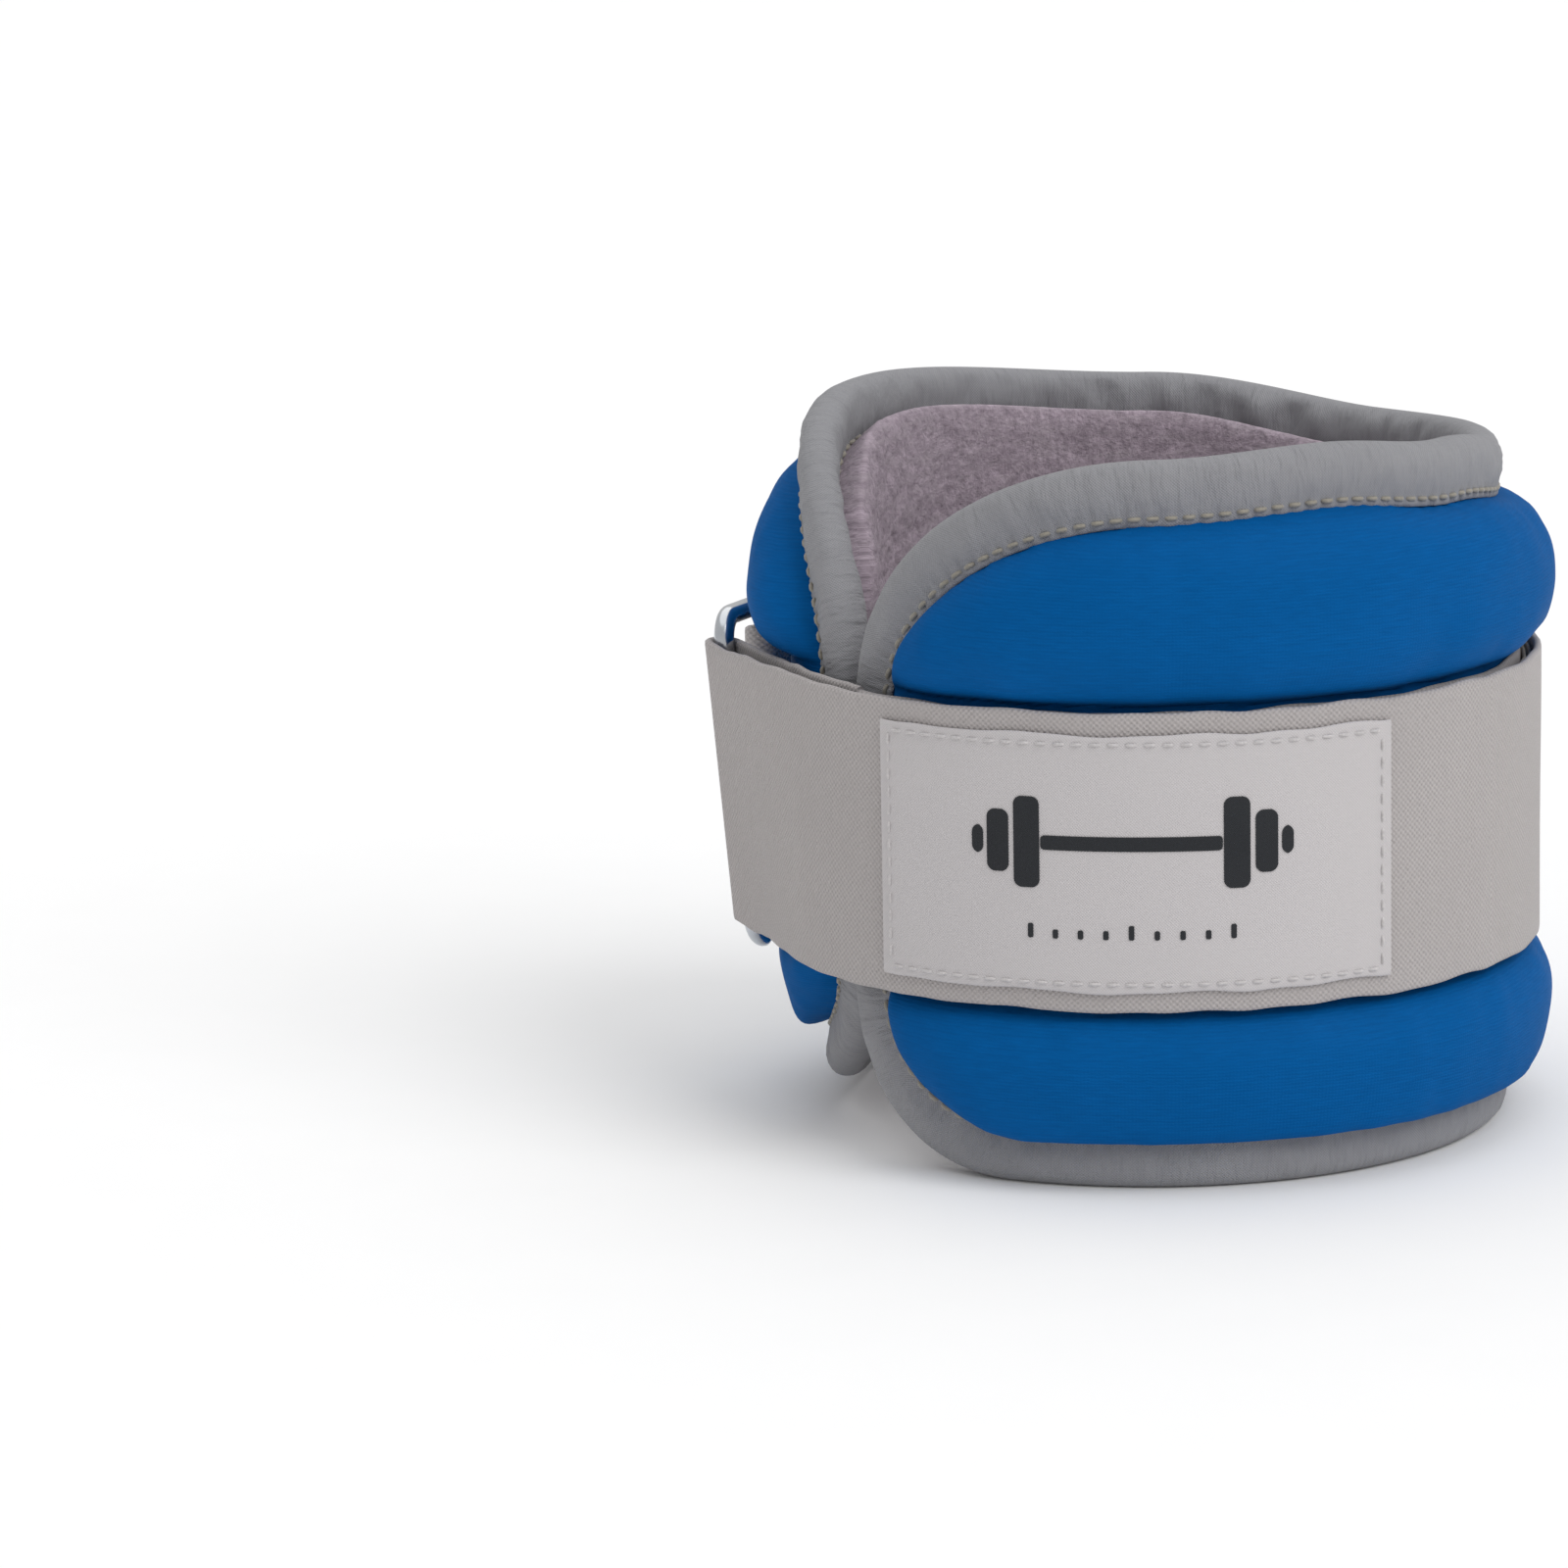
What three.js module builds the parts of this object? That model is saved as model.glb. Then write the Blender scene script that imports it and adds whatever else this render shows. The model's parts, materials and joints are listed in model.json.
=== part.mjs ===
import * as THREE from 'three';

// Ankle cuff weight: a padded cuff of two flaps around a leg, closed by a webbing strap that
// runs from the front flap through a wire ring on the other flap and back over itself.
// Millimetres, +Z up. The label faces -Y and +X is to its right. Angles are in degrees about
// the cuff's own vertical axis, 0 at the front (-Y) and positive towards +X.

// Driving dimensions
const GAP_ANGLE = -57;            // where the two flaps meet
const HINGE_ANGLE = 123;          // where the padding folds when the cuff opens
const HINGE_GAP = 0.4;            // half the clearance between the halves at the fold
const FLAP_GAP = 1.6;             // each flap's panel edge stands back this far from the gap
const RIM_HEIGHTS = [             // [angle, height of the upper edge]
  [-57, 120], [0, 121.5], [30, 123], [60, 120.5], [90, 117.5],
  [135, 116], [180, 120.5], [237, 124.5], [303, 121],
];
const LOWER_RADIUS = 58.5;        // middle of the panel's edge at the bottom
const UPPER_RADIUS = 56.5;        // and at the top
const ARC_RADIUS = 57.5;          // turns an angle into a length along the edge
const LOBE_RADIUS = 69;           // the padding's fullest outside
const WAIST_RADIUS = 62;          // the padding squeezed under the strap
const LEG_RADIUS = 46;            // inside of the lining
const SHEET = 1.7;                // cover and lining thickness
const EDGE_HALF = 2;              // half of the panel's thickness at its edge
const FOAM = 2;
const CLEARANCE = 0.3;
const BINDING = { cover: 9, wall: 0.8, web: 0.9, bevel: 0.6 };
const PUFF_START = 3;             // the padding starts to swell this far past the binding
const PUFF = 12;                  // and reaches its full thickness over this length
const SQUEEZE = { from: 1.5, to: 10 };   // past the strap's edge, the squeezed padding recovers
const STRAP = { middle: 56.5, width: 50, layer: 1.3 };
const LABEL = { from: -41, to: 35.5, height: 43, layer: 0.5 };
const TAPE = { layer: 0.7, margin: 2, loopFrom: -30, loopEnd: 4 };
const SHEET_INSET = 0.8;          // cover and lining end just inside the binding's fold
const FOAM_INSET = 16;            // the foam and the pouches stop this far from the panel's edge
const POUCH_INSET = 20;
const PAD_SLACK = 1;              // room between the layers inside the padding
const SEAM = 2.5;                 // sewn rib between two pouches
const WIRE_RADIUS = 1.75;
const RING_INSIDE = 54;           // the ring's clear height
const RING_CORNER = 5;
const TAB_WIDTH = 48;
const STRAP_BAR = { angle: -93, radius: 72.8 };
const TAB_BAR = { angle: -108, radius: 71.6 };
const TAIL_ANGLE = 58;            // the hooked end of the strap starts here
const TAIL_END = 100;
const BASE_FROM = -50;
const BASE_TO = 118;
const TAB_END = -165;
const POUCHES = 4;                // in each half

// How finely the curved surfaces are divided
const STEPS = {
  straight: 14, lowerCorner: 7, upperCorner: 8, columns: 22, coverRows: 7, liningRows: 6,
  foamColumns: 14, pouchColumns: 5, innerRows: 4, strapRows: 3,
  outer: 24, run: 4, eye: 12, tab: 6, wireBend: 5, wireRound: 12,
};
const COLUMN_SPREAD = 1.2;        // columns stand closer together round the corners
const LAYER_STEP = 5;             // degrees of a strap layer to a station

// Each half of the pad: its hinge end, its free end, and its two rounded corners
const HALVES = {
  front: {
    free: GAP_ANGLE + degrees(FLAP_GAP), hinge: HINGE_ANGLE - degrees(HINGE_GAP), turn: 1,
    upper: { run: 57, drop: 42 }, lower: { run: 32, drop: 30 },
  },
  back: {
    free: 360 + GAP_ANGLE - degrees(FLAP_GAP), hinge: HINGE_ANGLE + degrees(HINGE_GAP), turn: -1,
    upper: { run: 52, drop: 45 }, lower: { run: 45, drop: 30 },
  },
};

// Strap layers, from the cover outwards
const LAYERS = stack(WAIST_RADIUS + CLEARANCE, {
  base: STRAP.layer, loop: TAPE.layer, hook: TAPE.layer, outer: STRAP.layer, label: LABEL.layer,
});

const MATERIALS = {
  neoprene: material(0x0252a0, 0.75),
  fleece: material(0x837b83, 0.95),
  foam: material(0xd8d2c0, 0.9),
  binding: material(0x73747a, 0.8),
  pouch: material(0x2c2c30, 0.6),
  webbing: material(0xb0aaa6, 0.85),
  tape: material(0xa8a29c, 0.95),
  label: material(0xbcb8b6, 0.7),
  chrome: material(0xd0d4d8, 0.15, 1),
};

function material(color, roughness, metalness = 0) {
  return new THREE.MeshStandardMaterial({ color, roughness, metalness });
}

function degrees(length) {
  return THREE.MathUtils.radToDeg(length / ARC_RADIUS);
}

function radians(angle) {
  return THREE.MathUtils.degToRad(angle);
}

// Inner and outer radius of each named layer, a clearance apart
function stack(start, thicknesses) {
  let radius = start;
  const layers = {};
  for (const [name, thickness] of Object.entries(thicknesses)) {
    layers[name] = { inner: radius, outer: radius + thickness };
    radius += thickness + CLEARANCE;
  }
  return layers;
}

function outward(angle) {
  return new THREE.Vector2(Math.sin(radians(angle)), -Math.cos(radians(angle)));
}

function polar(angle, radius, z) {
  const flat = outward(angle).multiplyScalar(radius);
  return new THREE.Vector3(flat.x, flat.y, z);
}

// ---- The pad's outline and thickness -------------------------------------------------

function rimHeight(angle) {
  const next = Math.max(1, RIM_HEIGHTS.findIndex(([key]) => key >= angle));
  const [fromAngle, fromHeight] = RIM_HEIGHTS[next - 1];
  const [toAngle, toHeight] = RIM_HEIGHTS[next];
  const blend = THREE.MathUtils.smoothstep(angle, fromAngle, toAngle);
  return THREE.MathUtils.lerp(fromHeight, toHeight, blend);
}

// Height that a rounded corner takes off the panel, near the flap's free end
function cornerDrop(half, corner, angle, inset) {
  const fromFree = radians(Math.abs(angle - half.free)) * ARC_RADIUS;
  const x = THREE.MathUtils.clamp((corner.run - fromFree) / (corner.run - inset), 0, 1);
  return (corner.drop - inset) * (1 - Math.sqrt(1 - x * x));
}

function lowerEdge(half, angle, inset = 0) {
  return BINDING.web + CLEARANCE + inset + cornerDrop(half, half.lower, angle, inset);
}

function upperEdge(half, angle, inset = 0) {
  const top = rimHeight(angle) - BINDING.web - CLEARANCE;
  return top - inset - cornerDrop(half, half.upper, angle, inset);
}

// The panel's edge as [angle, z], from the hinge along the bottom, up the free end and back
function edgePath(half) {
  const path = [];
  const straight = (corner, steps) => {
    const cornerStart = half.free + half.turn * degrees(corner.run);
    for (let i = 0; i < steps; i += 1) {
      path.push(THREE.MathUtils.lerp(half.hinge, cornerStart, i / steps));
    }
  };
  const corner = (shape, steps) => {
    for (let i = 0; i <= steps; i += 1) {
      const along = shape.run * (1 - Math.sin((i / steps) * Math.PI / 2));
      path.push(half.free + half.turn * degrees(along));
    }
  };
  straight(half.lower, STEPS.straight);
  corner(half.lower, STEPS.lowerCorner);
  const lower = path.splice(0).map((angle) => [angle, lowerEdge(half, angle)]);
  straight(half.upper, STEPS.straight);
  corner(half.upper, STEPS.upperCorner);
  const upper = path.map((angle) => [angle, upperEdge(half, angle)]).reverse();
  return [...lower, ...upper];
}

for (const half of Object.values(HALVES)) {
  half.path = edgePath(half);
}

// A place on the unrolled panel
function unrolled(angle, z) {
  return new THREE.Vector3(radians(angle) * ARC_RADIUS, z, 0);
}

function distanceToEdge(half, angle, z) {
  const point = unrolled(angle, z);
  const corners = half.path.map(([along, height]) => unrolled(along, height));
  const foot = new THREE.Vector3();
  let nearest = Infinity;
  for (let i = 1; i < corners.length; i += 1) {
    new THREE.Line3(corners[i - 1], corners[i]).closestPointToPoint(point, true, foot);
    nearest = Math.min(nearest, foot.distanceTo(point));
  }
  return nearest;
}

function edgeRadius(z) {
  return THREE.MathUtils.lerp(LOWER_RADIUS, UPPER_RADIUS, z / RIM_HEIGHTS[0][1]);
}

// 0 under the binding, 1 where the padding is at its full thickness
function swell(half, angle, z) {
  const inside = distanceToEdge(half, angle, z) - BINDING.cover - PUFF_START;
  const x = THREE.MathUtils.clamp(inside / PUFF, 0, 1);
  return Math.sin(x * Math.PI / 2);
}

function coverOutside(half, angle, z) {
  const fromStrap = Math.abs(z - STRAP.middle) - STRAP.width / 2;
  const free = THREE.MathUtils.smoothstep(fromStrap, SQUEEZE.from, SQUEEZE.to);
  const full = THREE.MathUtils.lerp(WAIST_RADIUS, LOBE_RADIUS, free);
  return THREE.MathUtils.lerp(edgeRadius(z) + EDGE_HALF, full, swell(half, angle, z));
}

function coverInside(half, angle, z) {
  return coverOutside(half, angle, z) - SHEET;
}

function liningInside(half, angle, z) {
  return THREE.MathUtils.lerp(edgeRadius(z) - EDGE_HALF, LEG_RADIUS, swell(half, angle, z));
}

function liningOutside(half, angle, z) {
  return liningInside(half, angle, z) + SHEET;
}

function foamInside(half, angle, z) {
  return liningOutside(half, angle, z) + PAD_SLACK;
}

function foamOutside(half, angle, z) {
  return foamInside(half, angle, z) + FOAM;
}

function pouchInside(half, angle, z) {
  return foamOutside(half, angle, z) + PAD_SLACK;
}

function pouchOutside(half, angle, z) {
  return coverInside(half, angle, z) - 2 * PAD_SLACK;
}

// ---- Solids ---------------------------------------------------------------------------

// A solid through a row of sections. A section is its outside points and the inside points
// that face them; advancing along the sections, outside x up gives the outward direction.
function loft(sections, closed = false) {
  const rings = sections.map(({ outside, inside }) => [...outside, ...[...inside].reverse()]);
  const size = rings[0].length;
  const pairs = sections[0].outside.length;
  const index = (ring, point) => (ring % rings.length) * size + (point % size);
  const faces = [];
  const quad = (a, b, c, d) => faces.push(a, b, c, a, c, d);
  for (let ring = 0; ring < rings.length - (closed ? 0 : 1); ring += 1) {
    for (let point = 0; point < size; point += 1) {
      const above = point + 1;
      quad(index(ring, point), index(ring + 1, point), index(ring + 1, above), index(ring, above));
    }
  }
  if (!closed) {
    const last = rings.length - 1;
    for (let pair = 0; pair < pairs - 1; pair += 1) {
      const facing = size - 1 - pair;
      quad(index(0, pair), index(0, pair + 1), index(0, facing - 1), index(0, facing));
      quad(index(last, facing), index(last, facing - 1), index(last, pair + 1), index(last, pair));
    }
  }
  const geometry = new THREE.BufferGeometry();
  const places = rings.flat().flatMap((point) => point.toArray());
  geometry.setAttribute('position', new THREE.Float32BufferAttribute(places, 3));
  geometry.setIndex(faces);
  geometry.computeVertexNormals();
  return geometry;
}

// Heights from a panel's lower edge to its upper one, with rows just past the strap's two
// edges and `lobeRows` between each of them and the panel's edge
function heightRows(low, high, lobeRows) {
  const least = (high - low) / 5;
  const past = STRAP.width / 2 + 1;
  const strapLow = Math.max(STRAP.middle - past, low + least);
  const strapHigh = Math.min(STRAP.middle + past, high - least);
  return [
    ...evenly(low, strapLow, lobeRows),
    ...evenly(strapLow, strapHigh, STEPS.strapRows).slice(1, -1),
    ...evenly(strapHigh, high, lobeRows),
  ];
}

// A curved sheet of the pad between two radius functions, over the given columns of angles
function padSheet(half, angles, lobeRows, inset, inner, outer) {
  const ordered = [...angles].sort((a, b) => a - b);
  return loft(ordered.map((angle) => {
    const low = lowerEdge(half, angle, inset);
    const high = upperEdge(half, angle, inset);
    const heights = heightRows(low, high, lobeRows);
    return {
      outside: heights.map((z) => polar(angle, outer(half, angle, z), z)),
      inside: heights.map((z) => polar(angle, inner(half, angle, z), z)),
    };
  }));
}

// Angles from a flap's free end to its hinge
function columns(half, inset, count) {
  const free = half.free + half.turn * degrees(inset);
  const shares = evenly(0, 1, count).map((share) => share ** COLUMN_SPREAD);
  return shares.map((share) => THREE.MathUtils.lerp(free, half.hinge, share));
}

function evenly(from, to, steps) {
  return Array.from({ length: steps + 1 }, (_, i) => THREE.MathUtils.lerp(from, to, i / steps));
}

function cover(half) {
  const angles = columns(half, SHEET_INSET, STEPS.columns);
  return padSheet(half, angles, STEPS.coverRows, SHEET_INSET, coverInside, coverOutside);
}

function lining(half) {
  const angles = columns(half, SHEET_INSET, STEPS.columns);
  return padSheet(half, angles, STEPS.liningRows, SHEET_INSET, liningInside, liningOutside);
}

function foamLayer(half) {
  const angles = columns(half, FOAM_INSET, STEPS.foamColumns);
  return padSheet(half, angles, STEPS.innerRows, FOAM_INSET, foamInside, foamOutside);
}

function pouch(half, place) {
  const first = half.free + half.turn * degrees(POUCH_INSET);
  const last = half.hinge - half.turn * degrees(SEAM);
  const rib = half.turn * degrees(SEAM / 2);
  const from = THREE.MathUtils.lerp(first, last, place / POUCHES) + rib;
  const to = THREE.MathUtils.lerp(first, last, (place + 1) / POUCHES) - rib;
  const angles = evenly(from, to, STEPS.pouchColumns);
  return padSheet(half, angles, STEPS.innerRows, POUCH_INSET, pouchInside, pouchOutside);
}

// Folded tape round the panel's edge: a channel that both sheets end in
function binding(half) {
  const { cover: depth, wall, web, bevel } = BINDING;
  const face = EDGE_HALF + 2 * CLEARANCE;
  const bottom = -CLEARANCE - web;
  const shoulder = face - CLEARANCE - bevel;
  const outside = [
    [depth, face + wall], [0, face + wall], [bottom, face - bevel],
    [bottom, bevel - face], [0, -face - wall], [depth, -face - wall],
  ];
  const inside = [
    [depth, face], [CLEARANCE, face], [-CLEARANCE, shoulder],
    [-CLEARANCE, -shoulder], [CLEARANCE, -face], [depth, -face],
  ];
  const path = half.turn > 0 ? half.path : [...half.path].reverse();
  return loft(path.map(([angle, z], i) => {
    const before = path[Math.max(i - 1, 0)];
    const after = path[Math.min(i + 1, path.length - 1)];
    const run = radians(after[0] - before[0]) * ARC_RADIUS;
    const rise = after[1] - before[1];
    const length = Math.hypot(run, rise);
    const atHinge = i === 0 || i === path.length - 1;
    const across = atHinge ? 0 : rise / length;
    const up = atHinge ? Math.sign(-run) : -run / length;
    const place = ([inward, thick]) => {
      const height = z + up * inward;
      return polar(angle + degrees(across * inward), edgeRadius(height) + thick, height);
    };
    return { outside: outside.map(place), inside: inside.map(place) };
  }));
}

// Stations along a flat strap seen from above: { point, normal }
function arcStations(centre, radius, from, to, steps) {
  return evenly(from, to, steps).map((angle) => {
    const normal = outward(angle);
    return { point: normal.clone().multiplyScalar(radius).add(centre), normal };
  });
}

function band(stations, { inner, outer }, radius, width, middle = STRAP.middle) {
  const place = ({ point, normal }, distance, z) => {
    const flat = point.clone().addScaledVector(normal, distance - radius);
    return new THREE.Vector3(flat.x, flat.y, z);
  };
  const low = middle - width / 2;
  const high = middle + width / 2;
  return loft(stations.map((station) => ({
    outside: [place(station, outer, low), place(station, outer, high)],
    inside: [place(station, inner, low), place(station, inner, high)],
  })));
}

const AXIS = new THREE.Vector2(0, 0);

function ringLayer(layer, from, to, width = STRAP.width) {
  const steps = Math.ceil((to - from) / LAYER_STEP);
  return band(arcStations(AXIS, layer.inner, from, to, steps), layer, layer.inner, width);
}

// Angle at which a strap leaves the cuff to run straight past a bar. `side` is +1 where the
// strap passes outside the bar and -1 where it passes inside it; `turn` is the way round.
function leaveAngle(bar, faceRadius, side, turn) {
  const wrap = WIRE_RADIUS + CLEARANCE;
  const distance = faceRadius - side * wrap;
  return bar.angle + turn * THREE.MathUtils.radToDeg(Math.acos(distance / bar.radius));
}

function barCentre(bar) {
  return outward(bar.angle).multiplyScalar(bar.radius);
}

// The straight stretch from the cuff to a bar, ending level with the bar's middle
function straightStation(bar, leave, radius, back) {
  const normal = outward(leave);
  const along = new THREE.Vector2(-normal.y, normal.x);
  const reach = barCentre(bar).dot(along) + back;
  const point = normal.clone().multiplyScalar(radius).addScaledVector(along, reach);
  return { point, normal };
}

const OUTER_LEAVE = leaveAngle(STRAP_BAR, LAYERS.outer.inner, 1, 1);
const RUN_LEAVE = leaveAngle(STRAP_BAR, LAYERS.base.outer, -1, 1);

function strapOuter() {
  const radius = LAYERS.outer.inner;
  const to = TAIL_ANGLE - degrees(CLEARANCE);
  const stations = [
    straightStation(STRAP_BAR, OUTER_LEAVE, radius, CLEARANCE),
    ...arcStations(AXIS, radius, OUTER_LEAVE, to, STEPS.outer),
  ];
  return band(stations, LAYERS.outer, radius, STRAP.width);
}

function strapRun() {
  const radius = LAYERS.base.inner;
  const to = BASE_FROM - degrees(CLEARANCE);
  const stations = [
    straightStation(STRAP_BAR, RUN_LEAVE, radius, CLEARANCE),
    ...arcStations(AXIS, radius, RUN_LEAVE, to, STEPS.run),
  ];
  return band(stations, LAYERS.base, radius, STRAP.width);
}

// The strap's turn round the ring's bar, from the outer layer to the layer beneath
function strapFold() {
  const inner = WIRE_RADIUS + CLEARANCE;
  const layer = { inner, outer: inner + STRAP.layer };
  const centre = barCentre(STRAP_BAR);
  const stations = arcStations(centre, inner, RUN_LEAVE - 180, OUTER_LEAVE, STEPS.eye);
  return band(stations, layer, inner, STRAP.width);
}

// Webbing tab sewn to the back flap, with its eye round the ring's other bar
function ringTab() {
  const inner = WIRE_RADIUS + CLEARANCE;
  const under = LAYERS.base;
  const over = { inner: under.outer + CLEARANCE, outer: under.outer + CLEARANCE + STRAP.layer };
  const underLeave = leaveAngle(TAB_BAR, under.outer, -1, -1);
  const overLeave = leaveAngle(TAB_BAR, over.inner, 1, -1);
  const turned = ({ point, normal }) => ({ point, normal: normal.clone().negate() });
  const stations = [
    ...arcStations(AXIS, under.outer, TAB_END, underLeave, STEPS.tab).map(turned),
    ...arcStations(barCentre(TAB_BAR), inner, underLeave + 180, overLeave, STEPS.eye),
    ...arcStations(AXIS, over.inner, overLeave, TAB_END, STEPS.tab),
  ];
  return band(stations.reverse(), { inner, outer: inner + STRAP.layer }, inner, TAB_WIDTH);
}

// Rectangular wire ring that stands upright between the two bars
function ringWire() {
  const near = barCentre(STRAP_BAR);
  const far = barCentre(TAB_BAR);
  const across = far.clone().sub(near);
  const width = across.length();
  across.normalize();
  const halfHeight = RING_INSIDE / 2 + WIRE_RADIUS;
  const corners = [
    { x: width - RING_CORNER, z: halfHeight - RING_CORNER, from: 0 },
    { x: RING_CORNER, z: halfHeight - RING_CORNER, from: 90 },
    { x: RING_CORNER, z: RING_CORNER - halfHeight, from: 180 },
    { x: width - RING_CORNER, z: RING_CORNER - halfHeight, from: 270 },
  ];
  const sides = new THREE.Vector3(across.x, across.y, 0);
  const upward = new THREE.Vector3(0, 0, 1);
  const middle = new THREE.Vector3(near.x, near.y, STRAP.middle);
  const facing = new THREE.Vector3().crossVectors(sides, upward);
  const roundWire = evenly(0, 360, STEPS.wireRound).slice(0, -1);
  const sections = [];
  for (const corner of corners) {
    for (const turn of evenly(corner.from, corner.from + 90, STEPS.wireBend)) {
      const bend = sides.clone().multiplyScalar(Math.cos(radians(turn)));
      bend.addScaledVector(upward, Math.sin(radians(turn)));
      const centre = middle.clone().addScaledVector(bend, RING_CORNER);
      centre.addScaledVector(sides, corner.x).addScaledVector(upward, corner.z);
      const around = roundWire.map((angle) => centre.clone()
        .addScaledVector(bend, WIRE_RADIUS * Math.cos(radians(angle)))
        .addScaledVector(facing, WIRE_RADIUS * Math.sin(radians(angle))));
      sections.push({ outside: around, inside: [] });
    }
  }
  return loft(sections, true);
}

// ---- The assembly ---------------------------------------------------------------------

const cuff = new THREE.Group();

function add(name, geometry, finish = MATERIALS.webbing) {
  const mesh = new THREE.Mesh(geometry, finish);
  mesh.name = name;
  cuff.add(mesh);
}

let pouchNumber = 1;
for (const [side, half] of Object.entries(HALVES)) {
  add(`cover_${side}`, cover(half), MATERIALS.neoprene);
  add(`lining_${side}`, lining(half), MATERIALS.fleece);
  add(`foam_${side}`, foamLayer(half), MATERIALS.foam);
  add(`binding_${side}`, binding(half), MATERIALS.binding);
  for (let place = 0; place < POUCHES; place += 1) {
    add(`fill_pouch_${pouchNumber}`, pouch(half, place), MATERIALS.pouch);
    pouchNumber += 1;
  }
}

const tapeWidth = STRAP.width - 2 * TAPE.margin;
const tailFrom = TAIL_ANGLE + degrees(CLEARANCE);
const loop = ringLayer(LAYERS.loop, TAPE.loopFrom, BASE_TO - TAPE.loopEnd, tapeWidth);
const hook = ringLayer(LAYERS.hook, TAIL_ANGLE + TAPE.margin, TAIL_END - TAPE.margin, tapeWidth);
const label = ringLayer(LAYERS.label, LABEL.from, LABEL.to, LABEL.height);
add('strap_base', ringLayer(LAYERS.base, BASE_FROM, BASE_TO));
add('loop_tape', loop, MATERIALS.tape);
add('strap_run', strapRun());
add('strap_fold', strapFold());
add('strap_outer', strapOuter());
add('label', label, MATERIALS.label);
add('strap_tail', ringLayer(LAYERS.outer, tailFrom, TAIL_END));
add('hook_tape', hook, MATERIALS.tape);
add('ring_tab', ringTab());
add('ring', ringWire(), MATERIALS.chrome);

// The origin is under the middle of the whole cuff, ring and fold included
const reach = new THREE.Box3().setFromObject(cuff);
const middle = reach.getCenter(new THREE.Vector3());
cuff.position.set(-middle.x, -middle.y, -reach.min.z);

export default cuff;
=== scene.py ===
"""Ankle cuff weight: the looks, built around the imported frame.

Lengths are in millimetres about the cuff's own vertical axis until build() turns them into
metres in the row's frame. Angles are in degrees, 0 at the front (-Y), positive towards +X.
"""
import json
import math

import bpy
import numpy as np
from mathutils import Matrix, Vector, noise


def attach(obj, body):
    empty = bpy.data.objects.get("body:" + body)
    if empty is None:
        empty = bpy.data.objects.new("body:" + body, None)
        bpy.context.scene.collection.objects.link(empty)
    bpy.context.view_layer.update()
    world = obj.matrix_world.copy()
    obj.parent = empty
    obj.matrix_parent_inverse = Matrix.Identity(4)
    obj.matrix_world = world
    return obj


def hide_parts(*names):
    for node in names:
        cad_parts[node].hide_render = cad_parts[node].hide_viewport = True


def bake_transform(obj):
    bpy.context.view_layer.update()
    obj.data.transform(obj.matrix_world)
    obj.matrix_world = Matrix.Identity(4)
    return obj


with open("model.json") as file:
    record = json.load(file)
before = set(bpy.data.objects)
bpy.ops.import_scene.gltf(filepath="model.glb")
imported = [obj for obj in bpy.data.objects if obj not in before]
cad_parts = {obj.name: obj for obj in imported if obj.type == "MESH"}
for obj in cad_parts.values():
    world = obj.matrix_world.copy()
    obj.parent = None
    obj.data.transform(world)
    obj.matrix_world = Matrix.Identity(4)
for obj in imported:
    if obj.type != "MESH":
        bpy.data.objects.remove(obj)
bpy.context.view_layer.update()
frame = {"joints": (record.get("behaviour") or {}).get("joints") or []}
scene = bpy.context.scene

# ---- Measures that the frame's solids were made from ----

GAP_ANGLE = -57.0
HINGE_ANGLE = 123.0
HINGE_RADIUS = 69.3
FLAP_GAP = 1.6
# The rim's height round the cuff, as (angle, height)
RIM_HEIGHTS = [(-57, 120), (0, 121.5), (30, 123), (60, 120.5), (90, 117.5),
               (135, 116), (180, 120.5), (237, 124.5), (303, 121)]
LOWER_RADIUS = 58.5
UPPER_RADIUS = 56.5
ARC_RADIUS = 57.5
LOBE_RADIUS = 69.0
WAIST_RADIUS = 62.0
LEG_RADIUS = 46.0
SHEET = 1.7
EDGE_HALF = 2.0
EDGE_INSET = 1.2  # the panel's edge stands this far inside the rim
SHEET_INSET = 0.8
BINDING_DEPTH = 9.0
STRAP_MIDDLE = 56.5
STRAP_WIDTH = 50.0
STRAP_LAYER = 1.3
TAPE_WIDTH = 46.0
TAB_WIDTH = 48.0
TAPE_LAYER = 0.7
LABEL_LAYER = 0.5
LABEL_FROM, LABEL_TO, LABEL_HEIGHT = -41.0, 35.5, 43.0
CLEARANCE = 0.3
WIRE_RADIUS = 1.75
RING_INSIDE = 54.0
RING_CORNER = 5.0
STRAP_BAR = (-93.0, 72.8)  # angle and radius of the bar that the strap turns round
TAB_BAR = (-108.0, 71.6)  # angle and radius of the bar that the tab holds
TAIL_ANGLE, TAIL_END = 58.0, 100.0
BASE_FROM, BASE_TO = -50.0, 118.0
LOOP_FROM, LOOP_TO = -30.0, 114.0
TAB_END = -165.0
STITCH_PITCH = 3.0
STITCH_DEPTH = 8.0  # into the panel, where the binding is sewn
THREAD = 0.46  # radius of the sewing thread
FINE_THREAD = 0.3  # radius of the label's thread


def degrees(length):
    """The angle that a length along the panel's middle surface turns through."""
    return math.degrees(length / ARC_RADIUS)


def outward(angle):
    """Level unit vectors that point away from the axis."""
    turn = np.radians(angle)
    return np.stack([np.sin(turn), -np.cos(turn)], axis=-1)


def polar(angle, radius, z):
    """Points from their angles, radii and heights."""
    angle, radius, z = np.broadcast_arrays(*map(np.asarray, (angle, radius, z)))
    return np.concatenate([outward(angle) * radius[..., None], z[..., None]], axis=-1)


def joint_place(name):
    joint = next(j for j in frame["joints"] if j["name"] == name)
    return np.array(joint["pos_m"]) * 1000


AXIS = joint_place("cuff_open") - polar(HINGE_ANGLE, HINGE_RADIUS, 0.0)
AXIS[2] = 0.0


def to_row(points):
    """Points in mm about the cuff's axis, as metres in the row's frame."""
    return (np.asarray(points) + AXIS) / 1000


# ---- The pad's outline and thickness ----

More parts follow.
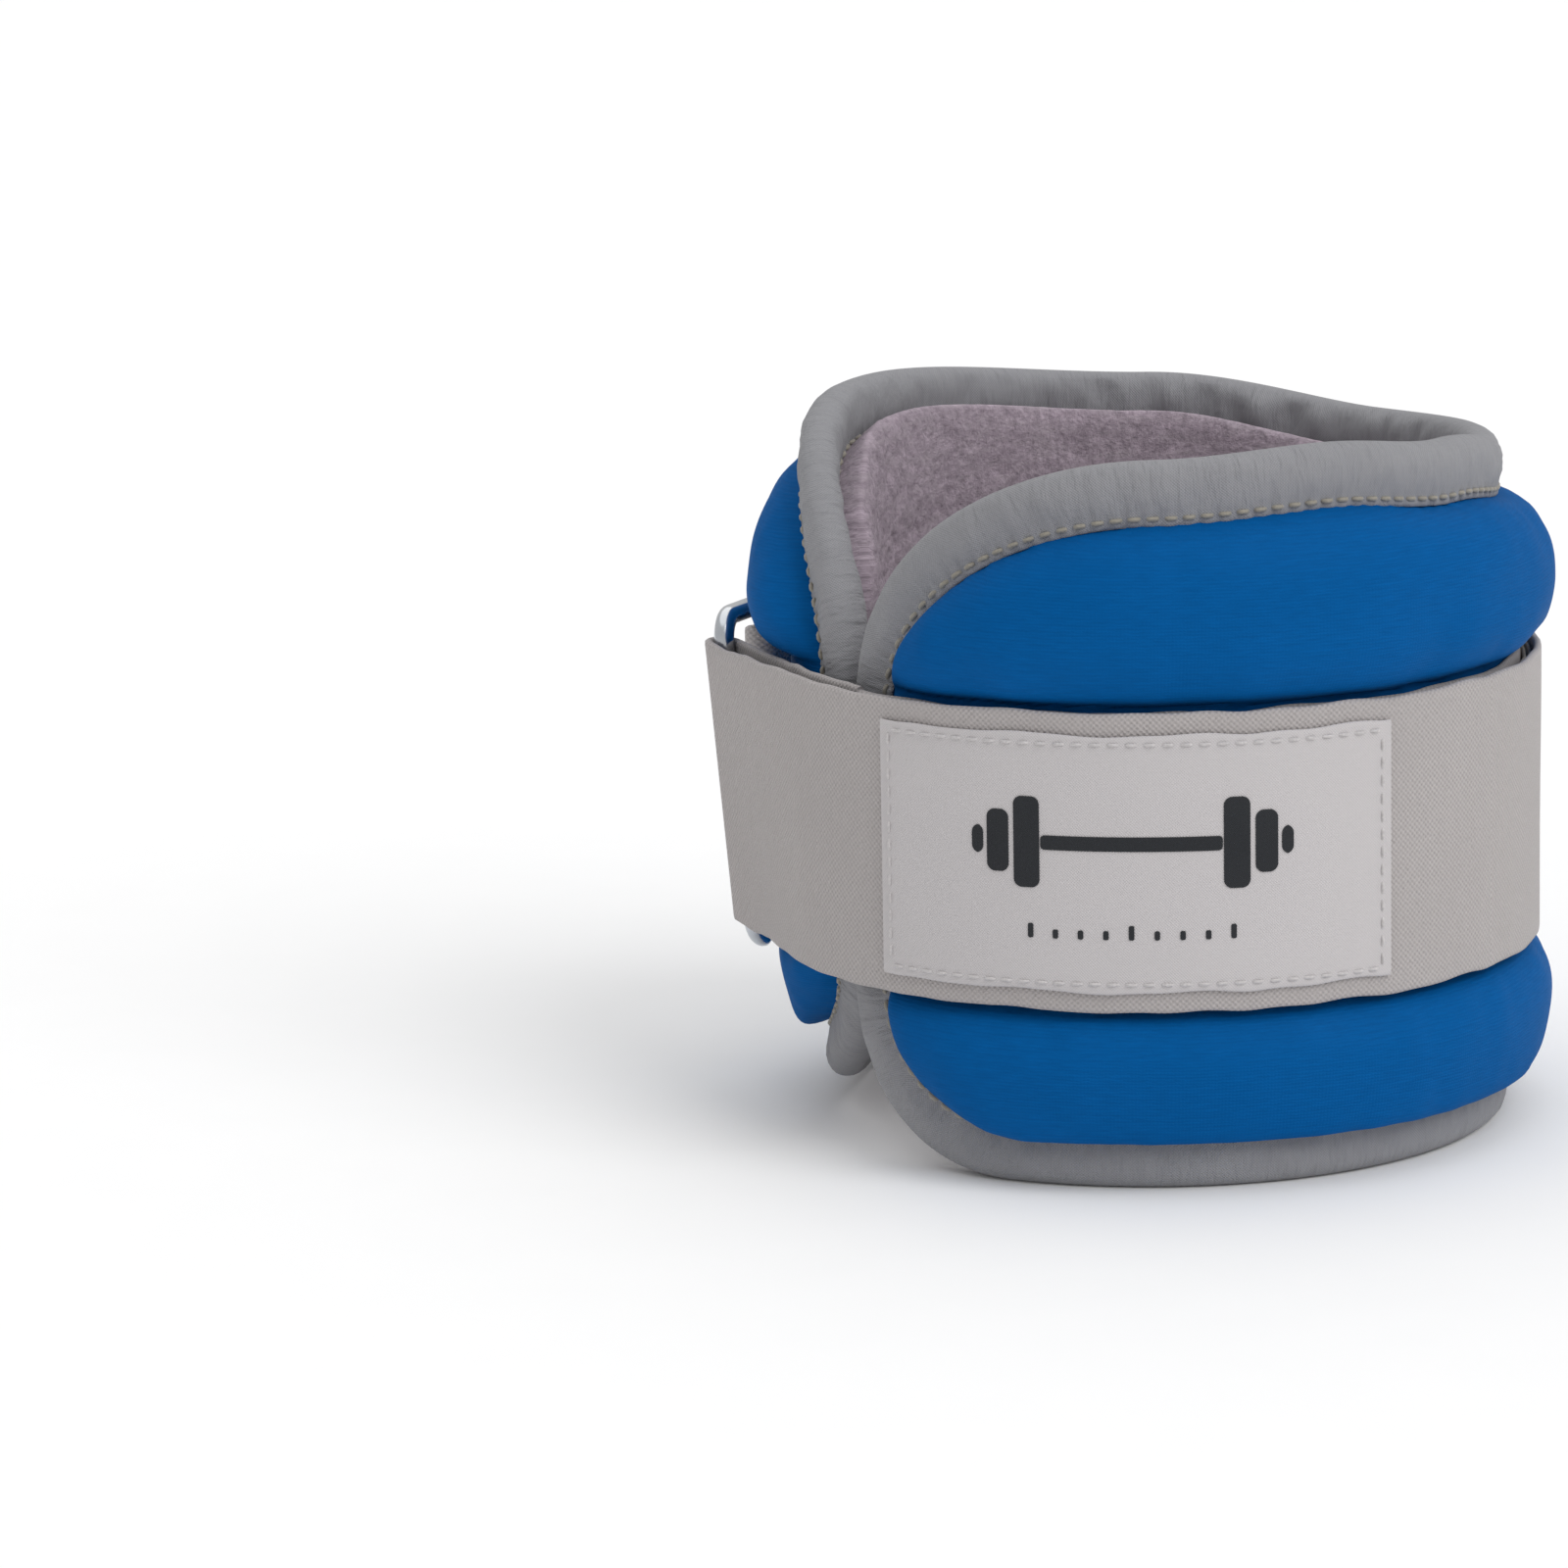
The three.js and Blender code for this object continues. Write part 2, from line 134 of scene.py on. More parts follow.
# Each half runs from its free end to the fold; a corner is (length along the edge, height)
HALVES = {
    "front": dict(free=GAP_ANGLE + degrees(FLAP_GAP), turn=1,
                  upper=(57.0, 42.0), lower=(32.0, 30.0)),
    "back": dict(free=360 + GAP_ANGLE - degrees(FLAP_GAP), turn=-1,
                 upper=(52.0, 45.0), lower=(45.0, 30.0)),
}
STRAIGHT_POINTS = 200
CORNER_POINTS = 60
OUTLINE_STEP = 3.0


def smooth(x):
    x = np.clip(x, 0, 1)
    return x * x * (3 - 2 * x)


def fade(value, start, end):
    """0 up to start and 1 past end, easing between; end may be the lower of the two."""
    return smooth((value - start) / (end - start))


def rim_height(angle):
    keys, heights = np.array(RIM_HEIGHTS, float).T
    start = np.clip(np.searchsorted(keys, angle, side="left") - 1, 0, len(keys) - 2)
    share = fade(angle, keys[start], keys[start + 1])
    return heights[start] + share * (heights[start + 1] - heights[start])


def from_free_end(half, angle):
    return np.radians(np.abs(angle - half["free"])) * ARC_RADIUS


def corner_drop(half, corner, angle, inset):
    """How far a rounded corner draws the edge in, close to the free end."""
    run, drop = corner
    x = np.clip((run - from_free_end(half, angle)) / (run - inset), 0, 1)
    return (drop - inset) * (1 - np.sqrt(1 - x * x))


def lower_edge(half, angle, inset=0.0):
    return EDGE_INSET + inset + corner_drop(half, half["lower"], angle, inset)


def upper_edge(half, angle, inset=0.0):
    top = rim_height(angle) - EDGE_INSET - inset
    return top - corner_drop(half, half["upper"], angle, inset)


def unrolled(angle, z):
    """Points on the flat panel: the length round it, and z."""
    return np.stack([np.radians(angle) * ARC_RADIUS, z], axis=-1)


def distances(line):
    """Each point's distance along a line of points, from its start."""
    steps = np.linalg.norm(np.diff(line, axis=0), axis=1)
    return np.concatenate([[0], np.cumsum(steps)])


def values_at(places, along, values):
    """Values at these places along a line, from the values at its points."""
    return np.stack([np.interp(places, along, column) for column in values.T], axis=1)


def edge_path(half, step):
    """[angle, z] along the panel's edge at an even step: bottom, free end, top."""
    sides = []
    for corner, edge in ((half["lower"], lower_edge), (half["upper"], upper_edge)):
        start = half["free"] + half["turn"] * degrees(corner[0])
        straight_part = np.linspace(HINGE_ANGLE, start, STRAIGHT_POINTS)[:-1]
        bend = np.sin(np.linspace(0, math.pi / 2, CORNER_POINTS))
        round_corner = half["free"] + half["turn"] * degrees(corner[0]) * (1 - bend)
        angles = np.concatenate([straight_part, round_corner])
        sides.append(np.stack([angles, edge(half, angles)], axis=1))
    path = np.concatenate([sides[0], sides[1][::-1]])
    along = distances(unrolled(*path.T))
    even = np.linspace(0, along[-1], int(along[-1] / step))
    return values_at(even, along, path)


for shape in HALVES.values():
    shape["outline"] = unrolled(*edge_path(shape, OUTLINE_STEP).T)


def distance_to_edge(half, angle, z):
    """Distance from the panel's edge, on the unrolled panel."""
    points = unrolled(angle, z)
    nearest = np.full(points.shape[:-1], np.inf)
    for start, end in zip(half["outline"][:-1], half["outline"][1:]):
        side = end - start
        share = np.clip(((points - start) @ side) / (side @ side), 0, 1)
        foot = start + share[..., None] * side
        nearest = np.minimum(nearest, np.linalg.norm(points - foot, axis=-1))
    return nearest


def edge_radius(z):
    """The pad's middle surface, which narrows a little towards the top."""
    return LOWER_RADIUS + (UPPER_RADIUS - LOWER_RADIUS) * z / RIM_HEIGHTS[0][1]


def rough(points, scale, seed):
    """Smooth noise, -1 to 1, at a feature size of `scale` mm."""
    flat = points.reshape(-1, 3) / scale + seed
    values = [noise.noise(Vector(point)) for point in flat]
    return np.array(values).reshape(points.shape[:-1])


def bumps(points, layers, seed=0.0):
    """Noise added up over layers of (height, feature size, seed, share of z it follows)."""
    total = 0.0
    for height, size, place, upright in layers:
        total = total + height * rough(points * [1, 1, upright], size, seed + place)
    return total


# The cover, as it swells inside the binding and on both sides of the strap
PUFF_START = BINDING_DEPTH + 0.4
PUFF = 14.0
PUFF_POWER = 2.2
BUMPS_CLEAR = 3.0  # the bumps fade in over this length inside the binding
PINCH_START = 0.5
PINCH = 11.0  # the squeezed padding recovers over this length
FULL_LOBE = 69.3
BACK_RELAX = 3.2  # no strap squeezes the padding across the back
BACK_FROM, BACK_TO = HINGE_ANGLE + 3, 360 + TAB_END - 4
BACK_FADE = 16.0
COVER_BUMPS = [(0.85, 26, 3.0, 1), (0.35, 10, 7.0, 1)]
PUCKERS = [(0.55, 4.5, 11.0, 0.5)]
PUCKER_MIDDLE, PUCKER_REACH = 12.0, 3.0
CREASES = [(1.0, 6.5, 17.0, 0.25)]
CREASE_MIDDLE, CREASE_REACH = 4.0, 3.5

# The swollen cloth that hangs over the binding beside it
OVERHANG_MIDDLE, OVERHANG_REACH = 12.5, 6.0
COVER_SAG = 7.5
SAG_FROM, SAG_FULL = STRAP_MIDDLE - 20, STRAP_MIDDLE - 30
SAG_CLEAR, SAG_REACHED = 14.0, 38.0  # from the free end
LINING_RISE = 12.0
TOP_FROM, TOP_FULL = STRAP_MIDDLE + 15, STRAP_MIDDLE + 30

# The lining, as it swells towards the leg
LINING_START = BINDING_DEPTH + 3.0
LINING_PUFF = 12.0
LINING_BUMPS = [(0.5, 1.5, 23.0, 1), (0.55, 3.0, 29.0, 1), (0.6, 18, 31.0, 1)]


def swell(distance):
    x = np.clip((distance - PUFF_START) / PUFF, 0, 1)
    return np.sqrt(1 - (1 - x) ** PUFF_POWER)


def overhang(distance):
    """Share by which the swollen cloth hangs over the binding beside it."""
    return swell(distance) * np.exp(-(((distance - OVERHANG_MIDDLE) / OVERHANG_REACH) ** 2))


def cover_rise(half, angle, z):
    """The lower lobe sags over the bottom binding."""
    low = fade(z, SAG_FROM, SAG_FULL)
    low = low * fade(from_free_end(half, angle), SAG_CLEAR, SAG_REACHED)
    return -COVER_SAG * low * overhang(distance_to_edge(half, angle, z))


def lining_rise(half, angle, z):
    """The lining stands up over the binding's inner leg."""
    high = fade(z, TOP_FROM, TOP_FULL)
    return LINING_RISE * high * overhang(distance_to_edge(half, angle, z))


def lining_swell(distance):
    x = np.clip((distance - LINING_START) / LINING_PUFF, 0, 1)
    return np.sin(x * math.pi / 2)


def cover_outside(half, angle, z):
    distance = distance_to_edge(half, angle, z)
    from_strap = np.abs(z - STRAP_MIDDLE) - STRAP_WIDTH / 2
    x = np.clip((from_strap - PINCH_START) / PINCH, 0, 1)
    free = np.sqrt(1 - (1 - x) ** 2)
    bare_back = fade(angle, BACK_FROM, BACK_FROM + BACK_FADE)
    bare_back = bare_back * fade(angle, BACK_TO, BACK_TO - BACK_FADE)
    waist = WAIST_RADIUS + BACK_RELAX * bare_back
    full = waist + (FULL_LOBE - waist) * free
    edge = edge_radius(z) + EDGE_HALF
    radius = edge + (full - edge) * swell(distance)
    at = polar(angle, ARC_RADIUS, z)
    pucker = bumps(at, PUCKERS) * np.exp(-np.abs(distance - PUCKER_MIDDLE) / PUCKER_REACH)
    crease = bumps(at, CREASES) * np.exp(-np.abs(from_strap - CREASE_MIDDLE) / CREASE_REACH)
    crease = crease * (from_strap > 0)
    clear = fade(distance, PUFF_START, PUFF_START + BUMPS_CLEAR)
    return radius + clear * (bumps(at, COVER_BUMPS) * free + pucker + crease)


def lining_inside(half, angle, z):
    distance = distance_to_edge(half, angle, z)
    swollen = lining_swell(distance)
    swollen = swollen + fade(z, TOP_FROM, TOP_FULL) * (swell(distance) - swollen)
    edge = edge_radius(z) - EDGE_HALF
    at = polar(angle, ARC_RADIUS, z + lining_rise(half, angle, z))
    return edge + (LEG_RADIUS - edge + bumps(at, LINING_BUMPS)) * swollen


def lining_outside(half, angle, z):
    swollen = lining_swell(distance_to_edge(half, angle, z))
    edge = edge_radius(z) - EDGE_HALF
    return edge + (LEG_RADIUS - edge) * swollen + SHEET


# ---- Meshes ----

# An edge that turns by more than this, in radians, is drawn sharp
SHARP = 0.9
SHARP_TAPE = 1.4
SHARP_WEBBING = 1.2
SHARP_PRINT = 0.6
NEVER_SHARP = 3.0
CROWDING = 1.15  # the pad's columns crowd a little towards its free end


def build(name, points, faces, weave, sharp=SHARP):
    """An object from points in mm; weave is each point's place in the cloth, in mm."""
    mesh = bpy.data.meshes.new(name)
    mesh.from_pydata(to_row(points).tolist(), [], np.asarray(faces).tolist())
    cloth = mesh.attributes.new("weave", "FLOAT_VECTOR", "POINT")
    flat = np.zeros((len(points), 3), np.float32)
    flat[:, :2] = weave
    cloth.data.foreach_set("vector", flat.ravel())
    mesh.shade_smooth()
    mesh.set_sharp_from_angle(angle=sharp)
    piece = bpy.data.objects.new(name, mesh)
    scene.collection.objects.link(piece)
    return piece


def ring_faces(count, size, closed=False):
    """Quads that join `count` rings of `size` points, with caps unless closed."""
    index = np.arange(count * size).reshape(count, size)
    here = index if closed else index[:-1]
    ahead = np.roll(index, -1, axis=0) if closed else index[1:]
    quads = [here, ahead, np.roll(ahead, -1, axis=1), np.roll(here, -1, axis=1)]
    faces = np.stack(quads, axis=-1).reshape(-1, 4)
    if closed:
        return faces
    near = np.arange(size // 2 - 1)
    far = size - 1 - near
    cap = np.stack([near, near + 1, far - 1, far], axis=1)
    return np.concatenate([faces, cap, index[-1][cap[:, ::-1]]])


def sheet_mesh(name, outside, inside, weave, sharp=SHARP):
    """A closed sheet between two grids of points, (columns, rows, 3)."""
    rings = np.concatenate([outside, inside[:, ::-1]], axis=1)
    cloth = np.concatenate([weave, weave[:, ::-1]], axis=1)
    faces = ring_faces(*rings.shape[:2])
    return build(name, rings.reshape(-1, 3), faces, cloth.reshape(-1, 2), sharp)


def level(half, angle, z):
    """The rise of a face that stays at its own height."""
    return 0.0


def pad_grid(half, angles, rows, inset):
    """Angles and heights of points that fill the panel, up to an inset from its edge."""
    angles = angles[:, None]
    low, high = lower_edge(half, angles, inset), upper_edge(half, angles, inset)
    z = low + (high - low) * np.linspace(0, 1, rows)
    return np.broadcast_to(angles, z.shape), z


def pad_sheet(name, half, grid, inset, inner, outer, inner_rise=level, outer_rise=level):
    """A layer of the pad between two faces, each a radius and a rise; grid is its points."""
    columns, rows = grid
    free = half["free"] + half["turn"] * degrees(inset)
    angles = free + (HINGE_ANGLE - free) * np.linspace(0, 1, columns) ** CROWDING
    angles, z = pad_grid(half, np.sort(angles), rows, inset)
    outside_z = z + outer_rise(half, angles, z)
    inside_z = z + inner_rise(half, angles, z)
    seen_z = outside_z if inner_rise is level else inside_z
    outside = polar(angles, outer(half, angles, z), outside_z)
    inside = polar(angles, inner(half, angles, z), inside_z)
    return sheet_mesh(name, outside, inside, unrolled(angles, seen_z))


# ---- Binding and sewing ----

# The folded tape's section: (depth into the panel, distance from its middle surface)
TAPE_OUTSIDE = [(9.35, 2.7), (9.2, 2.95), (8.7, 3.1), (7.9, 3.1), (7.0, 3.2), (5.5, 3.45),
                (4.0, 3.6), (2.4, 3.6), (1.0, 3.3), (0.0, 2.8), (-0.7, 2.0), (-1.1, 1.1),
                (-1.2, 0.4)]
TAPE_INSIDE = [(9.35, 2.45), (9.2, 2.35), (8.7, 2.3), (7.9, 2.3), (7.0, 2.3), (5.5, 2.3),
               (4.0, 2.3), (2.4, 2.3), (1.2, 2.3), (0.5, 2.0), (0.1, 1.5), (-0.2, 0.9),
               (-0.3, 0.3)]
BINDING_STEP = 0.8
PRESS = 0.26  # the sewing presses the tape down at each stitch
PRESS_REACH = 1.8
RIPPLES = [(0.6, 6.0, 41.0, 1), (0.4, 2.6, 43.0, 0.6)]
RIPPLE_SEWN = 0.1  # what the sewing leaves of the ripples
TURN_DEPTH, LEG_DEPTH = -0.6, 1.4  # the tape's turn is smooth, and its legs are rippled
BACK_FOLDS = [(1.9, 4.2, 47.0, 0.35)]
FOLDS_FROM, FOLDS_FULL, FOLDS_FADING, FOLDS_TO = 100.0, 125.0, 185.0, 215.0

# A stitch from end to end: share of its half length, height over the cloth, share of its girth
STITCH_SHAPE = np.array([(-1, -0.45, 0.35), (-0.8, -0.1, 0.85), (-0.35, 0.12, 1.0),
                         (0.35, 0.12, 1.0), (0.8, -0.1, 0.85), (1.0, -0.45, 0.35)])
STITCH_SHARE = 0.38  # of the pitch, each way from the stitch's middle
STITCH_AHEAD = 0.3  # a stitch points at the line this far ahead
THREAD_SIDES = 6
SEAM_STEP = 0.5
SEAM_HEIGHT = 2.9  # of the binding's sewing, from the panel's middle surface
SEAM_UNSEWN = 4  # steps at each end of the binding


def mirrored(section):
    return np.array(section + [(depth, -thick) for depth, thick in section[::-1]])


def along_edge(half, step):
    """Stations on the panel's edge: [angle, z], and the way into the panel (across, up)."""
    path = edge_path(half, step)
    if half["turn"] < 0:
        path = path[::-1]
    tangent = np.gradient(unrolled(*path.T), axis=0)
    tangent /= np.linalg.norm(tangent, axis=1, keepdims=True)
    tangent[[0, -1]] = np.sign(tangent[[0, -1]]) * [1, 0]
    inward = np.stack([tangent[:, 1], -tangent[:, 0]], axis=1)
    return path, inward


def on_edge(path, inward, depth, thick):
    """Points at a depth into the panel and a distance from its middle surface."""
    angle = path[:, :1] + np.degrees(inward[:, :1] * depth / ARC_RADIUS)
    z = path[:, 1:] + inward[:, 1:] * depth
    return polar(angle, edge_radius(z) + thick, z)


def tape_lift(path, run, lies, depth, thick):
    """How far the tape stands off its plain section, at each station and section point."""
    sewn = np.exp(-(((depth - STITCH_DEPTH) / PRESS_REACH) ** 2))
    press = -PRESS * sewn * (1 + np.cos(2 * math.pi * (run / STITCH_PITCH - 0.5)))
    ripple = bumps(lies, RIPPLES) * (1 - (1 - RIPPLE_SEWN) * sewn)
    angle, z = path[:, :1], path[:, 1:]
    back = fade(angle, FOLDS_FROM, FOLDS_FULL) * fade(angle, FOLDS_TO, FOLDS_FADING)
    inner_top = (z > STRAP_MIDDLE) & (thick < 0)
    folds = bumps(lies, BACK_FOLDS) * back * inner_top
    legs = np.clip((depth - TURN_DEPTH) / (LEG_DEPTH - TURN_DEPTH), 0, 1)
    return np.sign(thick) * (press + (ripple + folds) * legs)


def binding(name, half):
    """The tape folded over the panel's edge."""
    path, inward = along_edge(half, BINDING_STEP)
    run = np.arange(len(path))[:, None] * BINDING_STEP
    outer, inner = mirrored(TAPE_OUTSIDE), mirrored(TAPE_INSIDE)
    depth, thick = outer.T
    lies = on_edge(path, inward, depth, 0.0)
    lift = tape_lift(path, run, lies, depth, thick)
    outside = on_edge(path, inward, depth, thick + lift)
    inside = on_edge(path, inward, *inner.T)
    across = distances(outer)
    weave = np.stack(np.broadcast_arrays(run, across), axis=-1)
    return sheet_mesh(name, outside, inside, weave, sharp=SHARP_TAPE)


def threads(name, centres, tangents, normals, radius=THREAD):
    """Stitches as short threads whose ends dive into the cloth; one row per stitch."""
    share, height, girth = STITCH_SHAPE.T
    binormals = np.cross(tangents, normals)
    half_length = STITCH_PITCH * STITCH_SHARE
    spine = (centres[:, None] + tangents[:, None] * (share * half_length)[None, :, None]
             + normals[:, None] * height[None, :, None])
    points = []
    for side in range(THREAD_SIDES):
        turn = 2 * math.pi * side / THREAD_SIDES
        around = normals * math.cos(turn) + binormals * math.sin(turn)
        points.append(spine + around[:, None] * (radius * girth)[None, :, None])
    points = np.stack(points, axis=2)
    count, rings = points.shape[:2]
    last_ring = (rings - 1) * THREAD_SIDES
    start = np.array([[0, 1, 2, 3], [0, 3, 4, 5]])
    tube = ring_faces(rings, THREAD_SIDES)[:last_ring]
    one = np.concatenate([tube, start, start[:, ::-1] + last_ring])
    first = np.arange(count)[:, None, None] * rings * THREAD_SIDES
    flat = points.reshape(-1, 3)
    return build(name, flat, (first + one).reshape(-1, 4), flat[:, :2], sharp=NEVER_SHARP)


def stitch_line(line, normals):
    """Centre, tangent and normal of each stitch along a line of points."""
    along = distances(line)
    places = np.arange(STITCH_PITCH / 2, along[-1], STITCH_PITCH)
    centres = values_at(places, along, line)
    tangents = values_at(places + STITCH_AHEAD, along, line) - centres
    tangents /= np.maximum(np.linalg.norm(tangents, axis=1, keepdims=True), 1e-6)
    upright = values_at(places, along, normals)
    upright /= np.linalg.norm(upright, axis=1, keepdims=True)
    return centres, tangents, upright


def join_lines(lines):
    return [np.concatenate(parts) for parts in zip(*lines)]


def binding_stitches(name, half):
    path, inward = along_edge(half, SEAM_STEP)
    sewn = slice(SEAM_UNSEWN, -SEAM_UNSEWN)
    normals = polar(path[:, 0], 1.0, 0.0)
    lines = []
    for side in (1, -1):
        line = on_edge(path, inward, STITCH_DEPTH, side * SEAM_HEIGHT)[:, 0]
        lines.append(stitch_line(line[sewn], side * normals[sewn]))
    return threads(name, *join_lines(lines))


# ---- Straps ----

def stack_layers(start, layers):
    """Inner and outer radius of each layer, from the waist outwards, a clearance apart."""
    radii = {}
    for key, thickness in layers:
        radii[key] = (start, start + thickness)
        start += thickness + CLEARANCE
    return radii


LAYERS = stack_layers(WAIST_RADIUS + CLEARANCE, [
    ("base", STRAP_LAYER), ("loop", TAPE_LAYER), ("hook", TAPE_LAYER),
    ("outer", STRAP_LAYER), ("label", LABEL_LAYER)])
WRAP = WIRE_RADIUS + CLEARANCE


def arc(radius, start, end, step=1.0, centre=(0, 0)):
    """Stations along an arc seen from above: points and outward normals."""
    count = max(3, int(abs(math.radians(end - start)) * radius / step))
    normals = outward(np.linspace(start, end, count))
    return np.asarray(centre) + normals * radius, normals


def bar_centre(bar):
    return outward(bar[0]) * bar[1]


def leave_angle(bar, face, side, turn):
    """Where a strap with its face at this radius leaves the cuff for one side of a bar."""
    return bar[0] + turn * math.degrees(math.acos((face - side * WRAP) / bar[1]))


def straight(bar, leave, radius):
    """The strap's straight stretch from level with a bar to where it meets the cuff."""
    normal = outward(leave)
    along = np.array([-normal[1], normal[0]])
    reach = bar_centre(bar) @ along
    count = max(3, int(abs(reach) / RUN_STEP))
    places = np.linspace(reach, 0, count)[:-1]
    points = normal * radius + along * places[:, None]
    return points, np.broadcast_to(normal, points.shape)


def joined(*stretches):
    points, normals = zip(*stretches)
    return np.concatenate(points), np.concatenate(normals)


STRAP_ROWS = 41
CROWDED_ROWS = 1.5  # the rows crowd towards the strap's edges
SELVEDGE = 0.025  # share of the strap's half width that rounds over
SELVEDGE_LAYER = 0.25  # of the strap's thickness, at its very edge
EDGE_WAVE = [(0.55, 9.0, 53.0, 0)]
FACE_WAVE = [(1.0, 14.0, 59.0, 0.5)]
WAVE_FADE = 4.0  # the waves fade out over this length at a strap's ends


def webbing(name, stations, thickness=STRAP_LAYER, width=STRAP_WIDTH, middle=STRAP_MIDDLE,
            wave=0.2, seed=0.0):
    """A strap along stations that lie on its inner face, with rounded selvedges."""
    points, normals = stations
    share = np.linspace(-1, 1, STRAP_ROWS)
    rows = np.sign(share) * (1 - (1 - np.abs(share)) ** CROWDED_ROWS)
    rounding = ((np.abs(rows) - (1 - SELVEDGE)) / SELVEDGE).clip(0, 1)
    layer = thickness * (SELVEDGE_LAYER + (1 - SELVEDGE_LAYER) * np.sqrt(1 - rounding ** 2))
    along = distances(points)
    z = middle + rows * width / 2 + np.zeros((len(points), 1))
    flat = np.broadcast_to(points[:, None], z.shape + (2,))
    place = np.concatenate([flat, z[..., None]], axis=-1)
    inner_part = fade(along, 0, WAVE_FADE) * fade(along, along[-1], along[-1] - WAVE_FADE)
    z += inner_part[:, None] * bumps(place, EDGE_WAVE, seed) * np.abs(rows) ** 3
    middle_face = thickness / 2 + wave * inner_part[:, None] * bumps(place, FACE_WAVE, seed)
    faces = []
    for offset in (middle_face + layer / 2, middle_face - layer / 2):
        moved = flat + normals[:, None] * offset[..., None]
        faces.append(np.concatenate([moved, z[..., None]], axis=-1))
    weave = np.stack(np.broadcast_arrays(along[:, None], z), axis=-1)
    return sheet_mesh(name, *faces, weave, sharp=SHARP_WEBBING)


def round_layer(name, layer, start, end, **options):
    inner, outer = LAYERS[layer]
    return webbing(name, arc(inner, start, end), outer - inner, **options)


OUTER_LEAVE = leave_angle(STRAP_BAR, LAYERS["outer"][0], 1, 1)
RUN_LEAVE = leave_angle(STRAP_BAR, LAYERS["base"][1], -1, 1)
RUN_SPLIT = 0.5
RUN_STEP = 0.5
STRAP_TURN_STEP = 0.25
TAB_TURN_STEP = 0.4
FOLD_REACH = 12.0  # the undone strap bends over this length past the bar


def past_bar():
    """The outer layer's straight stretch, cut where the turn round the bar has settled."""
    points, normals = straight(STRAP_BAR, OUTER_LEAVE, LAYERS["outer"][0])
    cut = int(FOLD_REACH / RUN_STEP)
    return (points[:cut + 1], normals[:cut + 1]), (points[cut:], normals[cut:])


def strap_outer(name):
    turn = arc(LAYERS["outer"][0], OUTER_LEAVE, TAIL_ANGLE)
    return webbing(name, joined(past_bar()[1], turn))


def strap_run(names):
    """The strap from the front flap to the ring, in two lengths that meet end to end."""
    radius = LAYERS["base"][0]
    points, normals = joined(straight(STRAP_BAR, RUN_LEAVE, radius),
                             arc(radius, RUN_LEAVE, BASE_FROM, RUN_STEP))
    split = int(len(points) * RUN_SPLIT)
    parts = [slice(split - 1, None), slice(0, split)]
    pieces = [webbing(name, (points[part], normals[part]), wave=0.0)
              for name, part in zip(names, parts)]
    return pieces, points[[-1, split, 0]]


def strap_fold(name):
    """The strap's turn round the ring's bar, with the first of its way back."""
    points, normals = arc(WRAP, RUN_LEAVE - 180, OUTER_LEAVE, STRAP_TURN_STEP,
                          bar_centre(STRAP_BAR))
    stations = joined((points[:-1], normals[:-1]), past_bar()[0])
    return webbing(name, stations, wave=0.0), stations[0]


def ring_tab(name):
    """The tab, from the cuff round the ring's far bar and back over itself."""
    under = LAYERS["base"][1]
    over = under + CLEARANCE
    under_leave = leave_angle(TAB_BAR, under, -1, -1)
    over_leave = leave_angle(TAB_BAR, over, 1, -1)
    under_points, under_normals = arc(under, TAB_END, under_leave)
    turn = arc(WRAP, under_leave + 180, over_leave, TAB_TURN_STEP, bar_centre(TAB_BAR))
    points, normals = joined((under_points, -under_normals), turn,
                             arc(over, over_leave, TAB_END))
    return webbing(name, (points[::-1], normals[::-1]), width=TAB_WIDTH, wave=0.0)


WIRE_SIDES = 24
RING_CORNER_POINTS = 12


def wire_ring(name):
    near, far = bar_centre(STRAP_BAR), bar_centre(TAB_BAR)
    width = np.linalg.norm(far - near)
    sides = np.append((far - near) / width, 0)
    up = np.array([0, 0, 1])
    facing = np.cross(sides, up)
    middle = np.append((near + far) / 2, STRAP_MIDDLE)
    side_reach = width / 2 - RING_CORNER
    end_reach = RING_INSIDE / 2 + WIRE_RADIUS - RING_CORNER
    path, bends = [], []
    for side, end, start in ((1, 1, 0), (-1, 1, 90), (-1, -1, 180), (1, -1, 270)):
        corner = middle + sides * side * side_reach + up * end * end_reach
        turns = np.radians(np.linspace(start, start + 90, RING_CORNER_POINTS))[:, None]
        bends.append(sides * np.cos(turns) + up * np.sin(turns))
        path.append(corner + bends[-1] * RING_CORNER)
    path, bends = np.concatenate(path), np.concatenate(bends)
    turns = np.linspace(0, 2 * math.pi, WIRE_SIDES, endpoint=False)[:, None]
    around = bends[:, None] * np.cos(turns) + facing * np.sin(turns)
    points = (path[:, None] + around * WIRE_RADIUS).reshape(-1, 3)
    faces = ring_faces(len(path), WIRE_SIDES, closed=True)
    return build(name, points, faces, points[:, :2], sharp=NEVER_SHARP)


# ---- The label ----

# The sign, about its own middle: a bar, then plates of (distance out, thickness, half height)
SIGN_RISE = 3.5  # above the strap's middle
SIGN_BAR, SIGN_BAR_ROUNDING = (15.0, 1.2), 0.6
SIGN_PLATES, SIGN_PLATE_ROUNDING = [(17.4, 4.4, 7.6), (22.4, 3.8, 5.2), (26.0, 2.0, 2.4)], 1.4
TICKS = 9
TICK_PITCH, TICK_WIDTH, TICK_BASE, TICK_ROUNDING = 4.2, 0.9, -12.5, 0.3
LONG_TICK, SHORT_TICK = 2.4, 1.5  # every fourth tick is long
PRINT_LIFT = 0.16
PRINT_SINK = 0.05
PRINT_GRID = (25, 5)
PRINT_CORNER_CUT = 0.98  # keeps a patch's two corners from closing up
LABEL_SEAM = 1.5  # inside the label's edge
LABEL_SEAM_LIFT = 0.05
SEAM_POINTS = 120
BOX_INSET = 3.0  # inside the strap's edges


